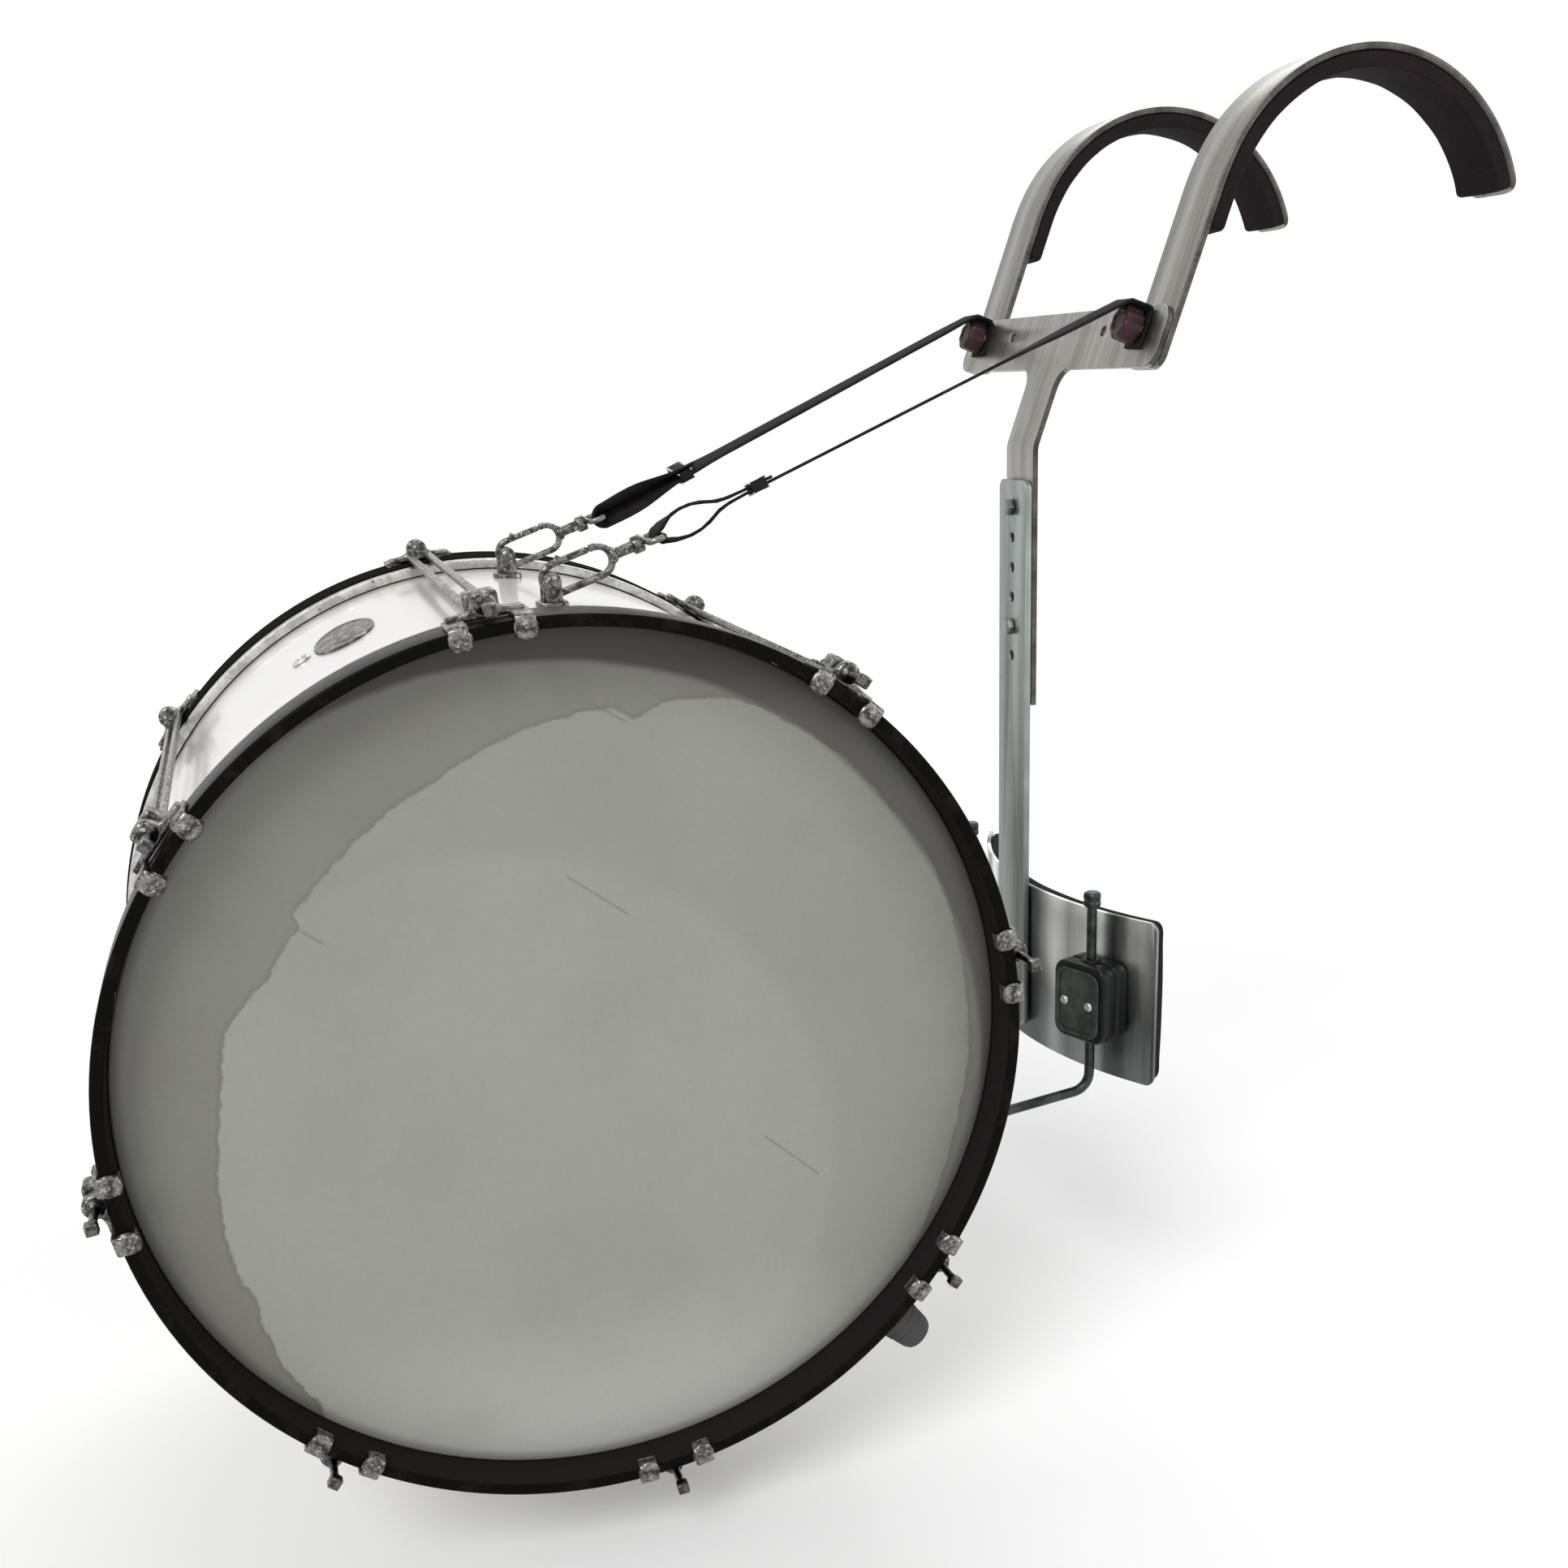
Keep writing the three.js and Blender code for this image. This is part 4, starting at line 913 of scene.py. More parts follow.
@dataclass(frozen=True)
class HeadFilm(Finish):
    """Coated film of a drum head. A damping sheet behind it shows as a paler zone with torn edges."""

    damped: bool = True
    pale: str = "96978f"
    inner_pale: str = "9c9d95"
    low_pale_painted_light: str = "b5b6b0"
    dulled_and_shaded: str = "83847c"
    ring: str = "7b7a74"
    cloudy_ring: str = "82827b"
    torn: str = "5c5c57"
    scratched: str = "6e6e69"
    flecked: str = "4a4a46"
    shade: str = "35332f"
    roughness: float = 0.55
    zone: tuple[Point, ...] = (
        (-200, -3), (-205, -56), (-203, -83), (-199, -101), (-193, -107), (-192, -122), (-183, -157), (-165, -186),
        (-166, -205), (-89, -267), (1, -276), (92, -267), (169, -220), (199, -177), (197, -157), (220, -104),
        (231, -67), (238, -34), (238, 2), (231, 49), (213, 103), (186, 139), (160, 168), (138, 184), (117, 197),
        (102, 206), (54, 207), (42, 198), (31, 206), (22, 206), (-25, 197), (-67, 176), (-105, 153), (-134, 126),
        (-146, 102), (-150, 110), (-156, 94), (-165, 77), (-184, 59), (-192, 47), (-196, 23),
    )
    gain: float = 3
    lobe: Point = (-59, -74)
    lobe_radius: float = 208
    shade_middle: Point = (-21, -32)
    scratches: tuple[tuple[Point, Point], ...] = (
        ((-4, 116), (33, 87)),
        ((104, -59), (141, -93)),
        ((-149, 103), (-134, 91)),
        ((17, 211), (38, 197)),
    )

    def _outline(self) -> list[Point]:
        """The zone's edge as (share of a full turn, radius in metres times the gain), in order.

        Returns:
            The points of the curve.
        """
        gain = MM * self.gain
        edge = sorted((math.atan2(z, x) / (2 * math.pi) + 0.5, math.hypot(x, z) * gain) for x, z in self.zone)
        (first, low), (last, high) = edge[0], edge[-1]
        share = (1 - last) / (first + 1 - last)
        middle = high + (low - high) * share
        return [(0.0, middle)] + edge + [(1.0, middle)]

    def draw(self, shader: Shader) -> None:
        """Cloudy grey film, the pale zone and its brighter lobe, a shaded rim and a few hair scratches.

        Args:
            shader: Where the nodes go.
        """
        where = shader.place()
        x, _, z = shader.axes(where)
        cloud = shader.noise(where, 9, 3, 0.55)
        fleck = shader.noise(where, 300, 3, 0.6)
        radius = (x * x + z * z).root()
        colour = shader.mix(cloud.rise(0.25, 0.75), written(self.ring), written(self.cloudy_ring))
        if self.damped:
            share = z.turn_from(x) / (2 * math.pi) + 0.5
            ragged = (shader.noise(where, 70, 4, 0.7) - 0.5) * 0.008
            limit = shader.node("ShaderNodeFloatCurve", {"points": self._outline()}, {"Value": share})
            limit = limit / self.gain + ragged
            inside = (limit - radius).rise(-0.0011, 0.0011)
            off = self._distance(x, z, self.lobe) + ragged * 0.5
            bright = off.rise((self.lobe_radius + 6) * MM, (self.lobe_radius - 8) * MM)
            pale = shader.mix(bright, written(self.pale), written(self.inner_pale))
            # Paler towards the bottom of the head: painted light.
            pale = shader.mix(z.rise(-0.12, -0.25), pale, written(self.low_pale_painted_light))
            # Cloudy dulling of the pale zone, plus painted shade that darkens it towards +X.
            dull = cloud.rise(0.35, 0.8) * 0.3 + x.rise(0.08, 0.22) * 0.28
            pale = shader.mix(dull, pale, written(self.dulled_and_shaded))
            edge_line = (limit - radius).rise(-0.004, 0.0) * (1 - inside)
            colour = shader.mix(edge_line * 0.35, colour, written(self.torn))
            colour = shader.mix(inside, colour, pale)
            for start, end in self.scratches:
                colour = shader.mix(self._scratch(x, z, start, end), colour, written(self.scratched))
        off = self._distance(x, z, self.shade_middle) + (cloud - 0.5) * 0.008
        crescent = off.rise(0.2655, 0.2705) * (z.rise(0.185, 0.235) * 0.3 + 0.52) + off.rise(0.23, 0.268) * 0.12
        colour = shader.mix(crescent, colour, written(self.shade))
        colour = shader.mix(radius.rise(0.246, 0.2535) * 0.5, colour, written(self.shade))
        colour = shader.mix(fleck.rise(0.3, 0.8) * 0.06, colour, written(self.flecked))
        shader.surface(colour, fleck * 0.12 + (self.roughness - 0.06), fleck, 0.00005)

    def _distance(self, x: Value, z: Value, middle: Point) -> Value:
        """How far a place on the head is from a point given in millimetres, in metres."""
        across, up = x - middle[0] * MM, z - middle[1] * MM
        return (across * across + up * up).root()

    def _scratch(self, x: Value, z: Value, start: Point, end: Point) -> Value:
        """A faint straight mark between two points of the head.

        Args:
            x: The place across the head.
            z: The place up the head.
            start: Where the mark begins, in millimetres.
            end: Where it ends.

        Returns:
            How strong the mark is.
        """
        run = Vector(end) - Vector(start)
        along, length = run.normalized(), run.length * MM
        right, up = x - start[0] * MM, z - start[1] * MM
        reach = right * along.x + up * along.y
        aside = abs(up * along.x - right * along.y)
        return aside.rise(0.0011, 0.0003) * reach.rise(0, 0.004) * reach.rise(length, length - 0.004) * 0.5


@dataclass(frozen=True)
class Nickel(Finish):
    """Nickel plate on castings and pressings, cloudy and a little pitted, with painted reflection in its mottle and
    painted glints.
    """

    bright: str = "868481"
    cloudy_with_reflection: str = "3e3d3b"
    pitted: str = "1c1b1a"
    painted_glint: str = "c9c6c0"
    roughness: float = 0.3
    scale: float = 1.0

    def draw(self, shader: Shader) -> None:
        """Grey metal with patches that are partly cloudy plating and partly painted reflection, painted glints, dark
        pits and softly dented gloss.

        Args:
            shader: Where the nodes go.
        """
        where = shader.place()
        cloud_and_reflection = shader.noise(where, 210 * self.scale, 4, 0.7)
        painted_glints = shader.noise(where, 330 * self.scale, 3, 0.6).rise(0.57, 0.68)
        pits = shader.cells(where, 420 * self.scale).rise(0.2, 0.08) * shader.noise(where, 90).rise(0.52, 0.66)
        colour = shader.mix(cloud_and_reflection.rise(0.4, 0.6), written(self.bright), written(self.cloudy_with_reflection))
        # Small bright specks of colour: painted glints.
        colour = shader.mix(painted_glints * 0.8, colour, written(self.painted_glint))
        colour = shader.mix(pits * 0.8, colour, written(self.pitted))
        dents = shader.noise(where, 240 * self.scale, 2)
        shader.surface(colour, cloud_and_reflection * 0.24 + pits * 0.3 + (self.roughness - 0.1), dents, 0.00018, Metallic=1.0)


@dataclass(frozen=True)
class Brushed(Finish):
    """Brushed aluminium, its lines running along the strip."""

    light: str = "aeaba5"
    dark: str = "7d7a75"
    scuffed: str = "5f5c57"
    roughness: float = 0.34
    upright: bool = False

    def draw(self, shader: Shader) -> None:
        """Fine lines along the grain, broad soft bands across it that are partly painted reflection, and handling
        marks.

        Args:
            shader: Where the nodes go.
        """
        grain = shader.grain()
        where = shader.place()
        fine, wide = ((16, 2600), (2.5, 60)) if self.upright else ((2600, 16), (60, 2.5))
        lines = shader.noise(shader.stretched(grain, (*fine, 1)), 1, 3, 0.6)
        # Broad bands: the metal's own tone mixed with painted reflection.
        broad_and_reflection = shader.noise(shader.stretched(grain, (*wide, 1)), 1, 2)
        marks = shader.noise(where, 45, 5, 0.7)
        tone = lines * 0.5 + broad_and_reflection * 0.5
        colour = shader.mix(tone.rise(0.36, 0.64), written(self.dark), written(self.light))
        colour = shader.mix(marks.rise(0.58, 0.8) * 0.4, colour, written(self.scuffed))
        shader.surface(colour, lines * 0.2 + marks * 0.1 + (self.roughness - 0.1), lines, 0.00003, Metallic=1.0)


@dataclass(frozen=True)
class CurvedSheet(Finish):
    """Brushed aluminium of the belly plate, with broad upright reflections of its curve painted into its colour."""

    light: str = "f6f8f7"
    dark: str = "4a4e4d"
    roughness: float = 0.3
    reach: float = 0.14
    painted_reflection_bands: tuple[Point, ...] = (
        (0, 0.3), (0.15, 0.2), (0.22, 0.22), (0.29, 0.52), (0.37, 1.0), (0.43, 0.72), (0.47, 0.5), (0.54, 0.65),
        (0.61, 0.75), (0.68, 0.8), (0.715, 0.28), (0.755, 0.1), (0.8, 0.2), (0.84, 0.43), (0.9, 0.5), (0.96, 0.28),
        (1, 0.28),
    )

    def draw(self, shader: Shader) -> None:
        """Painted reflection bands by the distance from the middle, dimmer in the lower half, under fine upright lines.

        Args:
            shader: Where the nodes go.
        """
        where = shader.place()
        _, y, z = shader.axes(where)
        lines = shader.noise(shader.stretched(shader.grain(), (16, 2600, 1)), 1, 3, 0.6)
        marks = shader.noise(where, 45, 5, 0.7)
        sway = (marks - 0.5) * 0.03
        band = shader.node("ShaderNodeFloatCurve", {"points": self.painted_reflection_bands}, {"Value": abs(y) / self.reach + sway})
        share = band * (1 - z.rise(0, -0.055) * 0.55) + (lines - 0.5) * 0.35
        colour = shader.mix(share.rise(0, 1), written(self.dark), written(self.light))
        shader.surface(colour, lines * 0.2 + marks * 0.1 + (self.roughness - 0.1), lines, 0.00003, Metallic=1.0)


@dataclass(frozen=True)
class Steel(Finish):
    """Drawn or pressed steel, greyer and duller than the plated pieces."""

    light: str = "9a9e9b"
    dark: str = "5e6361"
    streaked: str = "484c4a"
    roughness: float = 0.32

    def draw(self, shader: Shader) -> None:
        """Streaky grey metal with dull patches.

        Args:
            shader: Where the nodes go.
        """
        where = shader.place()
        streaks = shader.noise(shader.stretched(where, (1, 1, 0.15)), 500, 3, 0.6)
        dull = shader.noise(where, 80, 4, 0.6)
        colour = shader.mix(dull.rise(0.3, 0.7), written(self.light), written(self.dark))
        colour = shader.mix(streaks.rise(0.5, 0.8) * 0.3, colour, written(self.streaked))
        shader.surface(colour, dull * 0.25 + (self.roughness - 0.1), streaks, 0.00004, Metallic=1.0)


@dataclass(frozen=True)
class Webbing(Finish):
    """Woven polyester webbing in a close twill with bound edges."""

    thread: str = "262326"
    gap: str = "0d0c0d"
    rubbed: str = "4a4547"
    pitch: float = 0.0016
    roughness: float = 0.85

    def draw(self, shader: Shader) -> None:
        """Twill ribs that lean across the strap, dark between the threads and pale where it is rubbed.

        Args:
            shader: Where the nodes go.
        """
        u, v, _ = shader.axes(shader.grain())
        where = shader.place()
        wave = 2 * math.pi / self.pitch
        warp = (u * wave + v * wave * 0.35).sine()
        weft = (v * wave * 0.8 - u * wave * 0.2).sine()
        weave = (warp * 0.6 + weft * 0.4) * 0.5 + 0.5
        fuzz = shader.noise(where, 900, 3, 0.7)
        worn = shader.noise(where, 40, 4, 0.6).rise(0.5, 0.8)
        colour = shader.mix(weave * 0.7 + fuzz * 0.3, written(self.gap), written(self.thread))
        colour = shader.mix(worn * 0.35, colour, written(self.rubbed))
        shader.surface(colour, fuzz * 0.15 + (self.roughness - 0.07), weave, 0.00025, Specular_IOR_Level=0.15)


@dataclass(frozen=True)
class Foam(Finish):
    """Closed-cell foam with a fine skin, darker in its pores."""

    skin: str = "231c1f"
    pore: str = "100d0e"
    rubbed: str = "352c30"
    roughness: float = 0.92

    def draw(self, shader: Shader) -> None:
        """Fine pores over soft clouds of wear.

        Args:
            shader: Where the nodes go.
        """
        where = shader.place()
        pores = shader.cells(where, 700)
        crumb = shader.noise(where, 420, 4, 0.7)
        worn = shader.noise(where, 22, 3, 0.6).rise(0.45, 0.8)
        colour = shader.mix(pores.rise(0.5, 0.15) * 0.6, written(self.skin), written(self.pore))
        colour = shader.mix(worn * 0.25, colour, written(self.rubbed))
        height = pores * 0.5 + crumb * 0.5
        shader.surface(colour, crumb * 0.1 + (self.roughness - 0.05), height, 0.0004, Specular_IOR_Level=0.12)


@dataclass(frozen=True)
class Moulded(Finish):
    """Moulded rubber or plastic with a fine grain and rubbed high places."""

    fresh: str = "161717"
    rubbed: str = "2a2c2b"
    roughness: float = 0.55
    grain_depth: float = 0.00012

    def draw(self, shader: Shader) -> None:
        """Fine moulded grain with rubbed patches.

        Args:
            shader: Where the nodes go.
        """
        where = shader.place()
        fine = shader.noise(where, 1100, 2, 0.6)
        rub = shader.noise(where, 95, 4, 0.6).rise(0.48, 0.75)
        colour = shader.mix(rub * 0.6, written(self.fresh), written(self.rubbed))
        rough = rub * 0.15 + fine * 0.1 + (self.roughness - 0.08)
        shader.surface(colour, rough, fine, self.grain_depth, Specular_IOR_Level=0.2)


@dataclass(frozen=True)
class CastBadge(Finish):
    """A cast badge without lettering: grey metal with a cloudy relief inside a polished rim."""

    rim: str = "b8b4ac"
    field: str = "75736d"
    hollow: str = "45433f"

    def draw(self, shader: Shader) -> None:
        """A plain hammered field.

        Args:
            shader: Where the nodes go.
        """
        where = shader.place()
        relief = shader.noise(where, 190, 3, 0.55)
        fine = shader.noise(where, 900, 2)
        colour = shader.mix(relief.rise(0.38, 0.6), written(self.hollow), written(self.field))
        colour = shader.mix(relief.rise(0.55, 0.7), colour, written(self.rim))
        shader.surface(colour, fine * 0.15 + 0.3, relief, 0.0006, Metallic=1.0)


class Wear(Enum):
    """The finishes of this drum and its carrier."""

    PAINT = Paint("shell_white")
    LACQUER = Lacquer("hoop_black")
    # The hoop's outer face: gloss off and a lighter black, a painted reflection of its grazing gloss.
    RIM_PAINTED_REFLECTION = Lacquer("hoop_rim_painted_reflection", deep="262422", specular=0.0)
    NEAR_FILM = HeadFilm("head_film_damped")
    FAR_FILM = HeadFilm("head_film_plain", damped=False)
    PLATE = Nickel("nickel_castings")
    BAND = Nickel("nickel_band", bright="d2d0cb", cloudy_with_reflection="a9a7a2", scale=0.35)
    BAR = Brushed("brushed_bar")
    # A darker copy of the brushed aluminium for the strips' side faces: painted shade.
    EDGE_PAINTED_SHADE = Brushed("brushed_edge_painted_shade", light="676462", dark="413e3d", upright=True)
    REST = CurvedSheet("brushed_rest")
    ROD = Steel("drawn_steel")
    SCREW = Nickel("nickel_screws", bright="6e6c69", cloudy_with_reflection="343331", painted_glint="a8a6a2")
    SHAFT = Steel("dark_rod", light="4c504e", dark="2f3231")
    UPRIGHT = Brushed("brushed_upright", light="a9b0ad", dark="7f8683")
    COVER = Steel("cover_steel", light="565b58", dark="3f4442", roughness=0.4)
    BLOCK = Moulded("clamp_black", fresh="131414", rubbed="212323", roughness=0.32)
    SLIDE = Moulded("slide_black", fresh="0d0d0e", rubbed="1b1b1c", roughness=0.6)
    WEBBING = Webbing("webbing_black")
    THREAD = Webbing("stitching", thread="4b4749", gap="201e1f", pitch=0.0006)
    FOAM = Foam("carrier_foam")
    RUBBER = Moulded("black_rubber")
    GRIP = Moulded("knob_grip", fresh="3c2a2d", rubbed="6a4c50", roughness=0.42)
    BADGE = CastBadge("badge_cast")


# Stage


@dataclass
class Studio:
    """The pale floor, the soft lamps and the camera."""

    floor_drop: float = 0.038
    floor_size: float = 40.0
    lens: float = 39.67
    sensor: float = 36
    shift: Point = (-0.01227, 0.0688)
    eye: tuple[float, float, float] = (-150.1, -1091.5, 376.6)
    yaw: float = 17.2
    pitch: float = 16.6
    roll: float = -1.8
    world_level: float = 0.45

    def build(self, bench: Bench) -> None:
        """Sets up the stage round the object.

        Args:
            bench: Where the pieces go.
        """
        scene = bpy.context.scene
        scene.view_settings.view_transform = "Standard"
        self._world(scene)
        self._floor()
        self._camera(bench, scene)
        self._lamp("key", Vector((-0.45, -0.55, 0.7)), 26, 1.4)
        self._lamp("fill", Vector((0.8, -0.5, 0.3)), 40, 0.45)
        self._lamp("back", Vector((0.3, 0.6, 0.75)), 40, 0.9)

    def _world(self, scene: bpy.types.Scene) -> None:
        """Plain pale light, and white behind the object and in its gloss.

        Args:
            scene: The scene.
        """
        world = bpy.data.worlds.new("studio_air")
        scene.world = world
        shader = Shader(world)
        white = self._white_ray(shader)
        air = shader.node("ShaderNodeBackground", feeds={"Color": (1.0, 1.0, 1.0), "Strength": self.world_level})
        bright = shader.node("ShaderNodeBackground", feeds={"Color": (1.0, 1.0, 1.0), "Strength": 1.0})
        both = shader.node("ShaderNodeMixShader", feeds={0: white, 1: air, 2: bright})
        shader.close(both, "ShaderNodeOutputWorld")

    def _white_ray(self, shader: Shader) -> Value:
        """One where a ray comes from the camera, from gloss or through glass.

        Args:
            shader: Where the nodes go.

        Returns:
            The number.
        """
        ray = shader.node("ShaderNodeLightPath", out="Is Camera Ray")
        outputs = ray.socket.node.outputs
        glossy, through = Value(shader, outputs["Is Glossy Ray"]), Value(shader, outputs["Is Transmission Ray"])
        return ray.larger(glossy).larger(through)

    def _floor(self) -> None:
        """A wide pale floor that keeps the object's shadow."""
        low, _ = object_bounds()
        half = self.floor_size / 2
        mesh = bpy.data.meshes.new("floor")
        corners = [(-half, -half, 0), (half, -half, 0), (half, half, 0), (-half, half, 0)]
        mesh.from_pydata(corners, [], [(0, 1, 2, 3)])
        floor = bpy.data.objects.new("floor", mesh)
        bpy.context.scene.collection.objects.link(floor)
        floor.location = (0, 0, low[2] - self.floor_drop)
        material = bpy.data.materials.new("studio_floor")
        shader = Shader(material)
        white = self._white_ray(shader)
        paint = shader.node("ShaderNodeBsdfDiffuse", feeds={"Color": (0.93, 0.93, 0.93)})
        lift = shader.node("ShaderNodeEmission", feeds={"Color": (1.0, 1.0, 1.0), "Strength": white * 0.1})
        shader.close(shader.node("ShaderNodeAddShader", feeds={0: paint, 1: lift}))
        mesh.materials.append(material)
        floor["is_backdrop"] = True

    def _camera(self, bench: Bench, scene: bpy.types.Scene) -> None:
        """The camera that took the photograph.

        Args:
            bench: Where the pieces go.
            scene: The scene.
        """
        yaw, pitch, roll = (math.radians(turn) for turn in (self.yaw, self.pitch, self.roll))
        ahead = Vector((math.sin(yaw) * math.cos(pitch), math.cos(yaw) * math.cos(pitch), -math.sin(pitch)))
        level = Vector((math.cos(yaw), -math.sin(yaw), 0))
        upright = level.cross(ahead)
        right = level * math.cos(roll) + upright * math.sin(roll)
        up = upright * math.cos(roll) - level * math.sin(roll)
        data = bpy.data.cameras.new("camera")
        data.lens, data.sensor_width = self.lens, self.sensor
        data.shift_x, data.shift_y = self.shift
        data.clip_end = 100
        camera = bpy.data.objects.new("camera", data)
        scene.collection.objects.link(camera)
        camera.matrix_world = plane(bench.centre + Vector(self.eye) * MM, right, up)
        scene.camera = camera

    def _lamp(self, name: str, way: Vector, spread: float, power: float) -> None:
        """A soft lamp far away, so that it lights the whole floor alike.

        Args:
            name: Its name.
            way: The way to it.
            spread: How wide it looks, in degrees.
            power: Its strength.
        """
        data = bpy.data.lights.new(name, "SUN")
        data.angle, data.energy = math.radians(spread), power
        lamp = bpy.data.objects.new(name, data)
        bpy.context.scene.collection.objects.link(lamp)
        lamp.rotation_euler = way.to_track_quat("Z", "Y").to_euler()


# The drum


@dataclass
class DrumBody:
    """Shell, heads with their flesh hoops, and wooden hoops."""

    radius: float = SHELL_RADIUS
    half: float = 170
    wall: float = 7
    bevel: float = 5
    film: float = 0.6
    flat: float = 246
    collar: float = 254.9
    flesh_width: float = 11.7
    flesh_outer: float = 260.9
    hoop_inner: float = HOOP_INNER
    hoop_outer: float = HOOP_OUTER
    hoop_seat: float = 159
    hoop_edge: float = HOOP_EDGE
    hoop_round: float = 1.6
    steps: int = 192

    def build(self, bench: Bench) -> None:
        """Makes the drum's turned pieces.

        Args:
            bench: Where the pieces go.
        """
        shell = Form()
        shell.turn(self._shell_profile(), steps=self.steps, closed=True)
        bench.add("drum_shell", shell, [Wear.PAINT], "drum", "shell_paint", "shell")
        for name, side in SIDES.items():
            self._head(bench, name, side)
            self._hoop(bench, name, side)

    def _shell_profile(self) -> list[Point]:
        """Section of the shell, with its bearing edges rounded.

        Returns:
            The points in order.
        """
        inner, lip = self.radius - self.wall, 1.5
        front = arc((self.radius - lip, -self.half + lip), lip, -90, 0, 4)
        back = arc((self.radius - lip, self.half - lip), lip, 0, 90, 4)
        slope = self.half - self.bevel
        side = [(self.radius, y) for y in (-120, 0, 120)]
        return [(inner, -slope)] + front + side + back + [(inner, slope)]

    def _head(self, bench: Bench, name: str, side: int) -> None:
        """Film with its rounded collar, and the metal flesh hoop that grips it.

        Args:
            bench: Where the pieces go.
            name: The side's name.
            side: -1 near, 1 far.
        """
        inner, outer = self.half + SEAT_GAP, self.half + SEAT_GAP + self.film
        seat = self.hoop_seat - SEAT_GAP
        bend = arc((self.collar - 2, outer - 2), 2, 90, 0, 5)
        back = arc((self.collar - 2, outer - 2), 1.4, 0, 90, 5)
        face = [(r, outer) for r in (0, 60, 120, 180, 230, self.flat)]
        under = [(self.flat, inner), (0, inner)]
        lip = [(self.collar, seat - 1), (self.collar - self.film, seat - 1)]
        profile = face + bend + lip + back + under
        film = Form()
        film.turn([(r, side * y) for r, y in profile], steps=self.steps)
        finish = Wear.NEAR_FILM if side < 0 else Wear.FAR_FILM
        bench.add(f"film_{name}", film, [finish], "drum", "head_film", f"head_{name}")
        low, high = self.radius + SEAT_GAP, self.flesh_outer
        rim = seat - self.flesh_width
        section = [(low + 0.7, rim), (high - 1.2, rim), (high - 0.3, rim + 0.4), (high, rim + 1.4)]
        section += [(high, rim + 4), (high - 0.5, rim + 4.6), (high - 0.5, seat - 3.4), (high, seat - 2.8)]
        section += [(high, seat - 1), (high - 0.3, seat - 0.3), (high - 1, seat), (low + 0.7, seat)]
        band = Form()
        band.turn([(r, side * y) for r, y in section], steps=self.steps, closed=True)
        bench.add(f"flesh_hoop_{name}", band, [Wear.BAND], "drum", "nickel_plate")

    def _hoop(self, bench: Bench, name: str, side: int) -> None:
        """Wooden hoop with rounded edges.

        Args:
            bench: Where the pieces go.
            name: The side's name.
            side: -1 near, 1 far.
        """
        turn = self.hoop_round
        section = []
        for r, y, start in (
            (self.hoop_outer - turn, self.hoop_seat + turn, -90),
            (self.hoop_outer - turn, self.hoop_edge - turn, 0),
            (self.hoop_inner + turn, self.hoop_edge - turn, 90),
            (self.hoop_inner + turn, self.hoop_seat + turn, 180),
        ):
            section += arc((r, y), turn, start, start + 90, 4)
        hoop = Form()
        hoop.turn([(r, side * y) for r, y in section], steps=self.steps, closed=True)
        outermost = self.hoop_outer * 0.92
        # The outer faces take the lighter copy without gloss, a painted reflection.
        hoop.mark(lambda face: face.normal.dot(face.calc_center_median() * Vector((1, 0, 1))) > outermost)
        bench.add(f"wooden_hoop_{name}", hoop, [Wear.LACQUER, Wear.RIM_PAINTED_REFLECTION], "drum", "hoop_lacquer", f"hoop_{name}")


